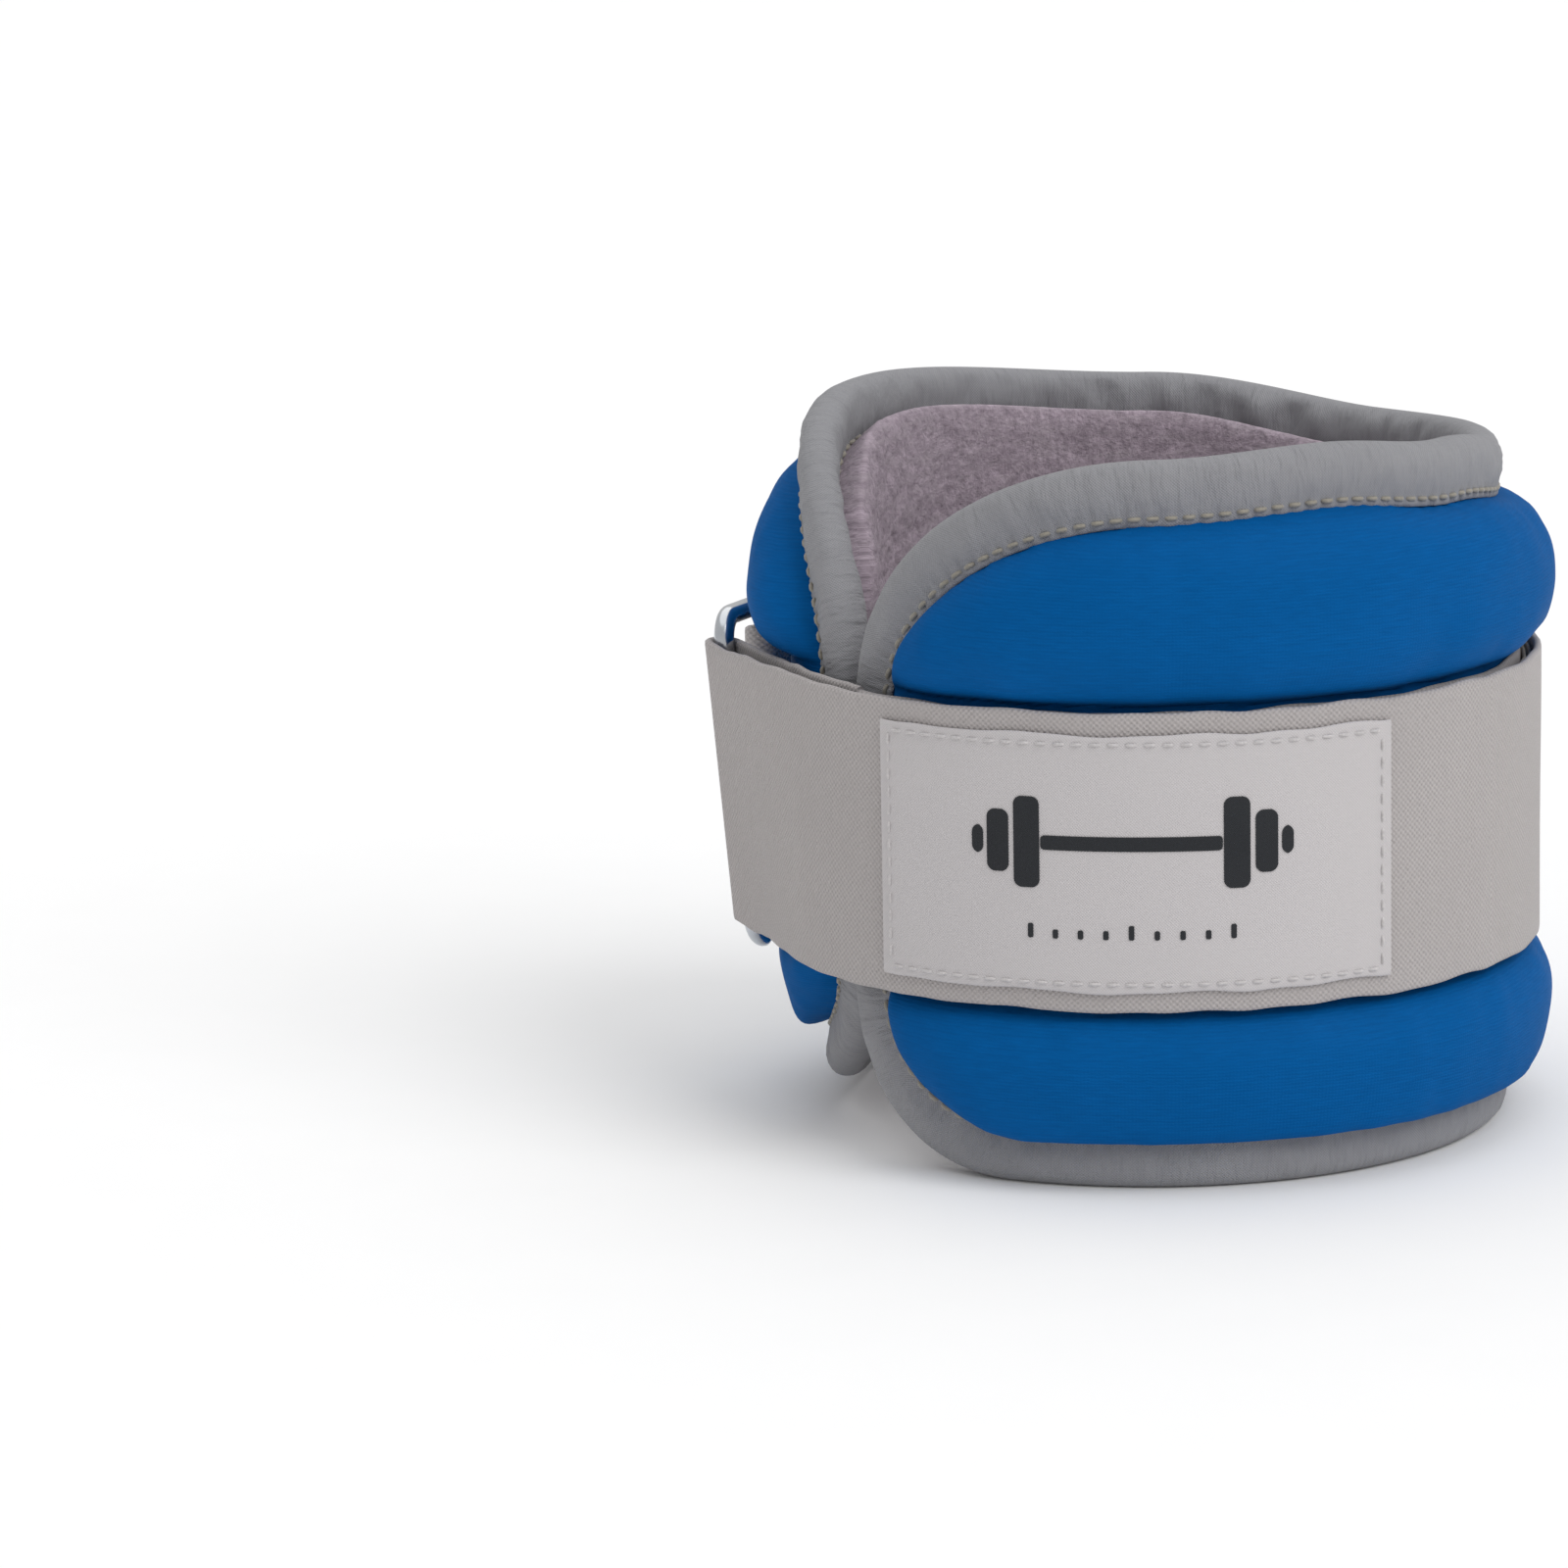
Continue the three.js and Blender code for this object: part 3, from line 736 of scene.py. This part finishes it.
def label_patch(place, half_width, bottom, top, rounding, radius):
    """A flat shape with rounded corners laid on the label, as rings of points."""
    columns, rows = PRINT_GRID
    share = (1 - np.cos(np.linspace(0, math.pi, columns))) / 2
    inset = 2 * half_width * np.minimum(share, 1 - share)
    gap = np.clip((rounding - inset) / rounding, 0, 1)
    cut = rounding * (1 - np.sqrt(1 - gap * gap)) * PRINT_CORNER_CUT
    z = STRAP_MIDDLE + (bottom + cut)[:, None]
    z = z + ((top - bottom) - 2 * cut)[:, None] * np.linspace(0, 1, rows)
    x = place + half_width * (2 * share - 1)
    angle = (LABEL_FROM + LABEL_TO) / 2 + np.degrees(x / radius)[:, None]
    outside = polar(angle, radius + PRINT_LIFT, z)
    inside = polar(angle, radius - PRINT_SINK, z)
    return np.concatenate([outside, inside[:, ::-1]], axis=1)


def sign_shapes():
    """The sign's patches about the label's middle: x, half width, bottom, top, rounding."""
    reach, tall = SIGN_BAR
    shapes = [(0, reach, SIGN_RISE - tall, SIGN_RISE + tall, SIGN_BAR_ROUNDING)]
    for side in (-1, 1):
        for out, thick, tall in SIGN_PLATES:
            shapes.append((side * out, thick / 2, SIGN_RISE - tall, SIGN_RISE + tall,
                           SIGN_PLATE_ROUNDING))
    for tick in range(TICKS):
        tall = LONG_TICK if tick % 4 == 0 else SHORT_TICK
        shapes.append(((tick - TICKS // 2) * TICK_PITCH, TICK_WIDTH / 2,
                       TICK_BASE, TICK_BASE + tall, TICK_ROUNDING))
    return shapes


def label_device(name):
    """A plain dumbbell sign over a row of ticks, woven in dark thread."""
    patches = np.array([label_patch(*shape, LAYERS["label"][1]) for shape in sign_shapes()])
    one = ring_faces(*patches.shape[1:3])
    first = np.arange(len(patches))[:, None, None] * patches[0, :, :, 0].size
    points = patches.reshape(-1, 3)
    return build(name, points, (first + one).reshape(-1, 4), points[:, [0, 2]], sharp=SHARP_PRINT)


def arc_stitches(corners, radius):
    """Stitches between two corners, (angle, z), over a round surface."""
    angles, z = np.linspace(*corners, SEAM_POINTS).T
    return stitch_line(polar(angles, radius, z), polar(angles, 1.0, 0.0))


def sewn_box(left, right, reach, radius, crossed=False):
    """Stitches round a box that reaches equally above and below the strap's middle."""
    low, high = STRAP_MIDDLE - reach, STRAP_MIDDLE + reach
    corners = [(left, low), (right, low), (right, high), (left, high)]
    pairs = list(zip(corners, corners[1:] + corners[:1]))
    if crossed:
        pairs += [(corners[0], corners[2]), (corners[1], corners[3])]
    return join_lines([arc_stitches(pair, radius) for pair in pairs])


def label_stitches(name):
    inset = degrees(LABEL_SEAM)
    lines = sewn_box(LABEL_FROM + inset, LABEL_TO - inset, LABEL_HEIGHT / 2 - LABEL_SEAM,
                     LAYERS["label"][1] + LABEL_SEAM_LIFT)
    return threads(name, *lines, radius=FINE_THREAD)


def box_stitches(name, start, end, radius):
    """The sewn box with a cross in it, through a strap's end."""
    return threads(name, *sewn_box(start, end, STRAP_WIDTH / 2 - BOX_INSET, radius, crossed=True))


# ---- Materials ----

def srgb(red, green, blue):
    """A colour given as it looks, 0 to 255, as linear values."""
    def linear(value):
        value /= 255
        return value / 12.92 if value <= 0.04045 else ((value + 0.055) / 1.055) ** 2.4
    return (linear(red), linear(green), linear(blue), 1.0)


WAVE_PERIOD = math.pi / 10  # a wave texture's bands are this far apart at scale 1


class Nodes:
    """A material's node tree, with short ways to add and join nodes."""

    def __init__(self, name):
        self.material = bpy.data.materials.new(name)
        self.material.use_nodes = True
        self.tree = self.material.node_tree
        self.shader = self.tree.nodes["Principled BSDF"]

    def add(self, kind, inputs=None, **settings):
        """A node with its settings made and its inputs filled or joined."""
        node = self.tree.nodes.new("ShaderNode" + kind)
        for key, value in settings.items():
            setattr(node, key, value)
        for key, value in (inputs or {}).items():
            self.put(value, node.inputs[key])
        return node

    def put(self, value, socket):
        if isinstance(value, bpy.types.NodeSocket):
            self.tree.links.new(value, socket)
        else:
            socket.default_value = value

    def cloth(self, stretch=(1, 1, 1)):
        """The place in the cloth, in mm, along the weave's own directions."""
        where = self.add("Attribute", attribute_name="weave").outputs["Vector"]
        return self.add("VectorMath", {0: where, 1: stretch}, operation="MULTIPLY").outputs[0]

    def place(self):
        return self.add("TexCoord").outputs["Object"]

    def noise(self, vector, scale, detail=2.0, roughness=0.5):
        sizes = {"Vector": vector, "Scale": scale, "Detail": detail, "Roughness": roughness}
        return self.add("TexNoise", sizes).outputs["Fac"]

    def wave(self, vector, pitch, direction, wobble=0.0):
        sizes = {"Vector": vector, "Scale": WAVE_PERIOD / pitch, "Distortion": wobble,
                 "Detail": 1.0, "Detail Scale": 1.5}
        return self.add("TexWave", sizes, bands_direction=direction).outputs["Fac"]

    def calc(self, operation, a, b=0.0):
        return self.add("Math", {0: a, 1: b}, operation=operation).outputs[0]

    def spread(self, value, low, high, start=0.0, end=1.0):
        limits = {"Value": value, "From Min": low, "From Max": high,
                  "To Min": start, "To Max": end}
        return self.add("MapRange", limits).outputs["Result"]

    def blend(self, factor, a, b):
        """Mixes two colours; 0, 6 and 7 are a Mix node's factor and colour sockets."""
        inputs = {0: factor, 6: a, 7: b}
        return self.add("Mix", inputs, data_type="RGBA").outputs[2]

    def bump(self, height, distance, strength=1.0, normal=None):
        inputs = {"Height": height, "Distance": distance, "Strength": strength}
        if normal is not None:
            inputs["Normal"] = normal
        return self.add("Bump", inputs).outputs["Normal"]

    def finish(self, color, roughness, normal=None, **sockets):
        self.put(color, self.shader.inputs["Base Color"])
        self.put(roughness, self.shader.inputs["Roughness"])
        if normal is not None:
            self.put(normal, self.shader.inputs["Normal"])
        for key, value in sockets.items():
            self.put(value, self.shader.inputs[key.replace("_", " ")])
        return self.material


def darker(color, share):
    return tuple(part * share for part in color[:3]) + (1.0,)


def neoprene():
    """Blue jersey-faced neoprene: fine horizontal knit courses, a soft sheen."""
    n = Nodes("neoprene")
    blue = srgb(0, 86, 152)
    cloth = n.cloth()
    courses = n.wave(cloth, 0.55, "Y", 2.5)
    wales = n.wave(cloth, 0.5, "X", 2.0)
    knit = n.calc("MULTIPLY", courses, n.spread(wales, 0, 1, 0.6, 1.0))
    grain = n.noise(n.cloth((0.25, 1.6, 1)), 1.1, 4.0, 0.65)
    mottle = n.noise(n.place(), 38.0, 3.0)
    color = n.blend(n.spread(grain, 0.35, 0.65), darker(blue, 0.9), darker(blue, 1.06))
    color = n.blend(n.spread(mottle, 0.3, 0.7, 0.0, 0.35), color, darker(blue, 0.8))
    color = n.blend(n.spread(knit, 0.0, 0.5, 0.22, 0.0), color, darker(blue, 0.7))
    normal = n.bump(knit, 0.00008, 0.4)
    normal = n.bump(grain, 0.0002, 0.3, normal)
    rough_part = n.spread(mottle, 0.3, 0.7, 0.6, 0.74)
    return n.finish(color, rough_part, normal, Sheen_Weight=0.01, Sheen_Roughness=0.4,
                    Sheen_Tint=srgb(90, 160, 230), Specular_IOR_Level=0.05)


def woven(name, color, pitch, contrast, depth, sheen, fuzz=0.0, shade=0.82, crumple_and_shade=0.0):
    """Plain-woven tape or webbing, with slubs, fuzz on a brushed face, and fine creases whose
    troughs carry painted shade.
    """
    n = Nodes(name)
    cloth = n.cloth()
    warp = n.wave(cloth, pitch, "X", 0.4)
    weft = n.wave(cloth, pitch, "Y", 0.4)
    over = n.calc("MULTIPLY", warp, weft)
    under = n.calc("MULTIPLY", n.calc("SUBTRACT", 1.0, warp), n.calc("SUBTRACT", 1.0, weft))
    weave = n.calc("ADD", over, under)
    slub = n.noise(n.cloth((0.25, 1.6, 1)), 1.1, 3.0, 0.6)
    fibres = n.noise(n.cloth((1.4, 1.0, 1)), 2.6, 4.0, 0.7)
    mottle = n.noise(n.place(), 55.0, 3.0)
    tone = n.blend(n.spread(weave, 0.1, 0.8), darker(color, 1 - contrast), color)
    tone = n.blend(n.spread(slub, 0.4, 0.7, 0.0, 0.5), tone, darker(color, shade))
    tone = n.blend(n.spread(mottle, 0.35, 0.7, 0.0, 0.4), tone, darker(color, shade))
    tone = n.blend(n.spread(fibres, 0.45, 0.75, 0.0, fuzz), tone, darker(color, 1.18))
    normal = n.bump(weave, depth, 0.7)
    normal = n.bump(fibres, depth * 2.2, 0.25 + 0.5 * fuzz, normal)
    if crumple_and_shade:
        # Fine creases as a bump, with painted shade: the same fold noise colours their troughs
        # darker
        folds = n.noise(n.cloth((1, 0.28, 1)), 0.42, 3.0, 0.6)
        tone = n.blend(n.spread(folds, 0.45, 0.3, 0.0, 0.28), tone, darker(color, 0.72))
        normal = n.bump(folds, crumple_and_shade, 0.8, normal)
    rough_part = n.spread(mottle, 0.3, 0.7, 0.78, 0.95)
    return n.finish(tone, rough_part, normal, Sheen_Weight=sheen, Sheen_Roughness=0.5,
                    Specular_IOR_Level=0.25)


def fleece():
    """Mauve-grey terry: short clumped pile that lies in soft streaks."""
    n = Nodes("fleece")
    mauve = srgb(176, 161, 173)
    tufts = n.noise(n.cloth((0.9, 1.1, 1)), 0.75, 5.0, 0.75)
    clumps = n.noise(n.cloth((0.7, 1.0, 1)), 0.32, 3.0, 0.6)
    streaks = n.noise(n.cloth((0.15, 0.8, 1)), 0.8, 3.0, 0.6)
    color = n.blend(n.spread(tufts, 0.36, 0.64), darker(mauve, 0.55), darker(mauve, 1.2))
    color = n.blend(n.spread(clumps, 0.38, 0.62, 0.0, 0.5), color, darker(mauve, 0.62))
    color = n.blend(n.spread(streaks, 0.45, 0.7, 0.0, 0.4), color, srgb(176, 166, 172))
    normal = n.bump(clumps, 0.0012, 0.6)
    normal = n.bump(tufts, 0.0009, 0.9, normal)
    return n.finish(color, 0.95, normal, Sheen_Weight=0.35, Sheen_Roughness=0.6,
                    Sheen_Tint=srgb(215, 205, 215), Specular_IOR_Level=0.12)


def thread_finish(name, color):
    n = Nodes(name)
    twist = n.noise(n.place(), 2600.0, 2.0)
    tone = n.blend(n.spread(twist, 0.3, 0.7), darker(color, 0.75), color)
    return n.finish(tone, n.spread(twist, 0.3, 0.7, 0.5, 0.7), n.bump(twist, 0.0001, 0.5),
                    Sheen_Weight=0.3)


def chrome():
    """Bright plated wire with faint drawing marks and a little haze."""
    n = Nodes("chrome")
    drawn = n.noise(n.place(), 900.0, 3.0)
    haze = n.noise(n.place(), 90.0, 3.0)
    color = n.blend(n.spread(haze, 0.35, 0.7), srgb(226, 228, 230), srgb(196, 200, 206))
    return n.finish(color, n.spread(haze, 0.3, 0.7, 0.1, 0.24), n.bump(drawn, 0.00003, 0.4),
                    Metallic=1.0)


def foam_finish():
    n = Nodes("foam")
    cells = n.add("TexVoronoi", {"Vector": n.place(), "Scale": 900.0}).outputs["Distance"]
    color = n.blend(cells, srgb(190, 180, 150), srgb(228, 220, 196))
    return n.finish(color, 0.95, n.bump(cells, 0.0004, 0.8), Specular_IOR_Level=0.2)


def floor_finish():
    n = Nodes("floor")
    speck = n.noise(n.place(), 60.0, 3.0)
    color = n.blend(speck, (0.94, 0.94, 0.94, 1), (0.96, 0.96, 0.96, 1))
    return n.finish(color, 0.85)


MATERIALS = {
    "neoprene": neoprene(),
    "fleece": fleece(),
    # The binding's fine creases carry painted shade in their troughs
    "binding": woven("binding", srgb(152, 152, 156), pitch=0.5, contrast=0.25, depth=0.00012,
                     sheen=0.1, crumple_and_shade=0.0014),
    "webbing": woven("webbing", srgb(188, 182, 181), pitch=1.0, contrast=0.3, depth=0.0003,
                     sheen=0.2, fuzz=0.4),
    "tape": woven("tape", srgb(186, 176, 160), pitch=0.9, contrast=0.35, depth=0.0005,
                  sheen=0.4, fuzz=0.6),
    "label": woven("label", srgb(200, 196, 197), pitch=0.5, contrast=0.14, depth=0.0001,
                   sheen=0.1, shade=0.92),
    "print": woven("print", srgb(44, 46, 50), pitch=0.38, contrast=0.3, depth=0.00008,
                   sheen=0.15),
    "pouch": woven("pouch", srgb(48, 50, 56), pitch=0.6, contrast=0.3, depth=0.0002,
                   sheen=0.2),
    "grey_thread": thread_finish("grey_thread", srgb(150, 144, 132)),
    "white_thread": thread_finish("white_thread", srgb(202, 198, 198)),
    "chrome": chrome(),
    "foam": foam_finish(),
}

# ---- Assembly ----

# Where, and by how much, the back flap's lower corner is drawn in
TUCK_FROM, TUCK_FULL = 222.0, 267.0
TUCK_TOP, TUCK_BOTTOM = 42.0, 14.0
TUCK_IN = 5.0
TUCK_LIFT = 3.0

# Where, and by how much, the strap's fold at the ring leans
LEAN_FROM, LEAN_FULL = -60.0, -87.0
LEAN_FADING, LEAN_TO = TAB_BAR[0] + 13, TAB_BAR[0] + 2
LEAN_IN = 4.2
LEAN_PIVOT = STRAP_MIDDLE + 10


def finish_piece(piece, finish, nodes=()):
    piece.data.materials.append(MATERIALS[finish])
    if nodes:
        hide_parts(*nodes)


def move_points(piece, moved):
    """Rewrites a mesh's points, handed over in mm with each one's angle about the axis."""
    mesh = piece.data
    flat = np.empty(len(mesh.vertices) * 3, np.float32)
    mesh.vertices.foreach_get("co", flat)
    points = flat.reshape(-1, 3).astype(float) * 1000 - AXIS
    angle = np.degrees(np.arctan2(points[:, 0], -points[:, 1]))
    points = moved(points, angle)
    mesh.vertices.foreach_set("co", to_row(points).astype(np.float32).ravel())
    mesh.update()


def tuck(points, angle):
    """The back flap's lower corner is drawn in under the strap."""
    share = fade(angle + 360, TUCK_FROM, TUCK_FULL) * (angle < GAP_ANGLE + 1)
    share *= fade(points[:, 2], TUCK_TOP, TUCK_BOTTOM)
    points[:, :2] -= outward(angle) * (share * TUCK_IN)[:, None]
    points[:, 2] += share * TUCK_LIFT
    return points


def lean(points, angle):
    """The strap's lower edge is pulled closer to the cuff."""
    share = fade(angle, LEAN_FROM, LEAN_FULL) * fade(angle, LEAN_TO, LEAN_FADING)
    share = share * (LEAN_PIVOT - points[:, 2]) / STRAP_WIDTH
    points[:, :2] -= outward(angle) * (share * LEAN_IN)[:, None]
    return points


def place_on(piece, side):
    if side == "front":
        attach(piece, "front_half")
    else:
        move_points(piece, tuck)
        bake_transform(piece)


COVER_GRID, LINING_GRID, FOAM_GRID = (240, 150), (250, 170), (60, 40)
FOAM_INSET, FOAM_NEAR, FOAM_FAR = 16.0, 1.0, 3.0
COVER_ROOM = 1.6  # the room inside the cover is this far clear of the plain sheet
COVER_SPARE = 1.0  # the visible cover's own back face stands this far into that
PINCH_CLEAR, PINCH_LENGTH = 1.5, 10.0
POUCHES = 4  # in each half
POUCH_NEAR = 4.6  # from the lining's back
POUCH_INSET = 20.0
POUCH_RIB = 1.25  # half of the sewn rib between two pouches
POUCH_GRID = (33, 49)
POUCH_FLAT = 0.12  # of a pouch's depth, at its sewn edge
POUCH_SPARE = 0.35
SHOT_BUMPS = [(0.35, 3.0, 71.0, 1)]


def cover_limit(half, angle, z):
    """The room inside the cover, clear of its creases."""
    from_strap = np.abs(z - STRAP_MIDDLE) - STRAP_WIDTH / 2
    pinch = fade(from_strap, PINCH_CLEAR, PINCH_CLEAR + PINCH_LENGTH)
    full = WAIST_RADIUS + (LOBE_RADIUS - WAIST_RADIUS) * pinch
    edge = edge_radius(z) + EDGE_HALF
    swollen = lining_swell(distance_to_edge(half, angle, z))
    return edge + (full - edge) * swollen - SHEET - COVER_ROOM


def further_out(face, offset):
    return lambda half, angle, z: face(half, angle, z) + offset


def pillow(name, half, place):
    """One sewn bag of iron shot, fullest in its middle."""
    first = half["free"] + half["turn"] * degrees(POUCH_INSET)
    last = HINGE_ANGLE - half["turn"] * degrees(2 * POUCH_RIB)
    rib = half["turn"] * degrees(POUCH_RIB)
    start = first + (last - first) * place / POUCHES + rib
    end = first + (last - first) * (place + 1) / POUCHES - rib
    columns, rows = POUCH_GRID
    angles = np.linspace(min(start, end), max(start, end), columns)
    angles, z = pad_grid(half, angles, rows, POUCH_INSET)
    across, up = np.linspace(-1, 1, columns)[:, None], np.linspace(-1, 1, rows)
    crown = np.sqrt((1 - across ** 6) * (1 - up ** 8))
    near = lining_outside(half, angles, z) + POUCH_NEAR
    far = cover_limit(half, angles, z)
    fullness = POUCH_FLAT + (1 - POUCH_FLAT) * crown
    lumps = bumps(polar(angles, ARC_RADIUS, z), SHOT_BUMPS) * crown
    middle = (near + far) / 2
    depth = (far - near) / 2 * fullness + lumps - POUCH_SPARE
    outside, inside = polar(angles, middle + depth, z), polar(angles, middle - depth, z)
    return sheet_mesh(name, outside, inside, unrolled(angles, z))


def padding(piece, side, finish, node):
    finish_piece(piece, finish, [node])
    place_on(piece, side)


for side, half in HALVES.items():
    cover = pad_sheet(f"cover_{side}_cloth", half, COVER_GRID, SHEET_INSET,
                      further_out(cover_limit, COVER_SPARE), cover_outside,
                      outer_rise=cover_rise)
    padding(cover, side, "neoprene", f"cover_{side}")
    lining = pad_sheet(f"lining_{side}_pile", half, LINING_GRID, SHEET_INSET,
                       lining_inside, lining_outside, inner_rise=lining_rise)
    padding(lining, side, "fleece", f"lining_{side}")
    foam = pad_sheet(f"foam_{side}_layer", half, FOAM_GRID, FOAM_INSET,
                     further_out(lining_outside, FOAM_NEAR),
                     further_out(lining_outside, FOAM_FAR))
    padding(foam, side, "foam", f"foam_{side}")
    tape = binding(f"binding_{side}_tape", half)
    finish_piece(tape, "binding", [f"binding_{side}"])
    place_on(tape, side)
    sewing = binding_stitches(f"binding_{side}_stitches", half)
    finish_piece(sewing, "grey_thread")
    place_on(sewing, side)
    for place in range(POUCHES):
        number = place + (1 if side == "front" else 1 + POUCHES)
        bag = pillow(f"pouch_{number}_bag", half, place)
        padding(bag, side, "pouch", f"fill_pouch_{number}")


BASE_DROP = 0.6  # the base layer sits a little lower than the outer one
BASE_SEAM = (BASE_TO - 3, BASE_TO - 1)
TAB_SEAM = (TAB_END + 2, TAB_END + 20)
TAIL_SEAM = (TAIL_END - 4, TAIL_END - 2)
TAB_OUTSIDE = LAYERS["base"][1] + CLEARANCE + STRAP_LAYER
HOOKS_INSET = 2.0  # the hook tape stops short of the tail's ends, in degrees


def strap_piece(piece, body, nodes=(), finish="webbing"):
    finish_piece(piece, finish, nodes)
    move_points(piece, lean)
    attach(piece, body)


strap_piece(round_layer("strap_base_webbing", "base", BASE_FROM, BASE_TO, seed=5.0,
                        middle=STRAP_MIDDLE - BASE_DROP), "front_half", ["strap_base"])
strap_piece(round_layer("loop_tape_pile", "loop", LOOP_FROM, LOOP_TO, width=TAPE_WIDTH),
            "front_half", ["loop_tape"], "tape")
strap_piece(box_stitches("strap_base_stitches", *BASE_SEAM, LAYERS["base"][1]),
            "front_half", (), "grey_thread")
strap_piece(strap_outer("strap_outer_webbing"), "strap", ["strap_outer"])
label = round_layer("label_cloth", "label", LABEL_FROM, LABEL_TO, width=LABEL_HEIGHT, wave=0.0)
strap_piece(label, "strap", ["label"], "label")
strap_piece(label_device("label_device"), "strap", (), "print")
strap_piece(label_stitches("label_stitches"), "strap", (), "white_thread")
strap_piece(ring_tab("ring_tab_webbing"), "back_half", ["ring_tab"])
strap_piece(box_stitches("ring_tab_stitches", *TAB_SEAM, TAB_OUTSIDE),
            "back_half", (), "grey_thread")
strap_piece(wire_ring("ring_wire"), "ring", ["ring"], "chrome")


def bent_strap(piece, nodes=()):
    """A length of strap that spans from one body to the next, set down in the row's frame."""
    finish_piece(piece, "webbing", nodes)
    move_points(piece, lean)
    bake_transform(piece)


# The run crosses the gap, then follows the ring; then comes the fold round the ring's bar
(gap_run, ring_run), run_path = strap_run(("strap_run_gap", "strap_run_ring"))
bent_strap(gap_run, ["strap_run"])
bent_strap(ring_run)
fold, fold_path = strap_fold("strap_fold_webbing")
bent_strap(fold, ["strap_fold"])

# The hooked end, with its hook tape and sewing
tail = round_layer("strap_tail_webbing", "outer", TAIL_ANGLE, TAIL_END, seed=9.0)
finish_piece(tail, "webbing", ["strap_tail"])
hooks = round_layer("hook_tape_hooks", "hook", TAIL_ANGLE + HOOKS_INSET, TAIL_END - HOOKS_INSET,
                    width=TAPE_WIDTH)
finish_piece(hooks, "tape", ["hook_tape"])
tail_sewing = box_stitches("strap_tail_stitches", *TAIL_SEAM, LAYERS["outer"][1])
finish_piece(tail_sewing, "white_thread")
for piece in (tail, hooks, tail_sewing):
    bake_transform(piece)

# ---- Stage, lights and camera ----

# Lengths here are in metres
FLOOR_SIZE = 6.0
SKY = 0.58
LAMP_TARGET = (0, 0, 0.06)
VIEW_DISTANCE = 1.10
VIEW_ELEVATION = math.radians(11.5)
VIEW_HEIGHT = 0.0567
CUFF_ASIDE = 0.06371  # the cuff stands this far right of the view's middle
CAMERA_ROLL = -1.1
SENSOR, LENS = 36.0, 145.28  # millimetres

bpy.ops.mesh.primitive_plane_add(size=FLOOR_SIZE, location=(0, 0, 0))
floor = bpy.context.object
floor.name = "floor"
floor.data.materials.append(floor_finish())

world = bpy.data.worlds.new("studio")
world.use_nodes = True
sky = world.node_tree.nodes["Background"]
sky.inputs["Color"].default_value = (1.0, 1.0, 1.0, 1)
sky.inputs["Strength"].default_value = SKY
scene.world = world
scene.view_settings.view_transform = "Standard"


def aim(thing, target):
    thing.rotation_euler = (Vector(target) - thing.location).to_track_quat("-Z", "Y").to_euler()


def soft_sun(name, place, strength, spread):
    """A very wide, distant soft box: even over the whole floor."""
    light = bpy.data.lights.new(name, "SUN")
    light.energy = strength
    light.angle = math.radians(spread)
    lamp = bpy.data.objects.new(name, light)
    lamp.location = place
    scene.collection.objects.link(lamp)
    aim(lamp, LAMP_TARGET)


soft_sun("key", place=(0.95, -0.8, 1.15), strength=1.2, spread=40)
soft_sun("top", place=(0.0, 0.25, 1.3), strength=0.8, spread=80)

camera_data = bpy.data.cameras.new("camera")
camera_data.sensor_width = SENSOR
camera_data.lens = LENS
camera = bpy.data.objects.new("camera", camera_data)
middle = Vector((AXIS[0] / 1000, AXIS[1] / 1000, VIEW_HEIGHT))
back = Vector((0, -math.cos(VIEW_ELEVATION), math.sin(VIEW_ELEVATION)))
camera.location = middle + back * VIEW_DISTANCE
aim(camera, middle - Vector((CUFF_ASIDE, 0, 0)))
camera.rotation_euler.rotate_axis("Z", math.radians(CAMERA_ROLL))
scene.collection.objects.link(camera)
scene.camera = camera
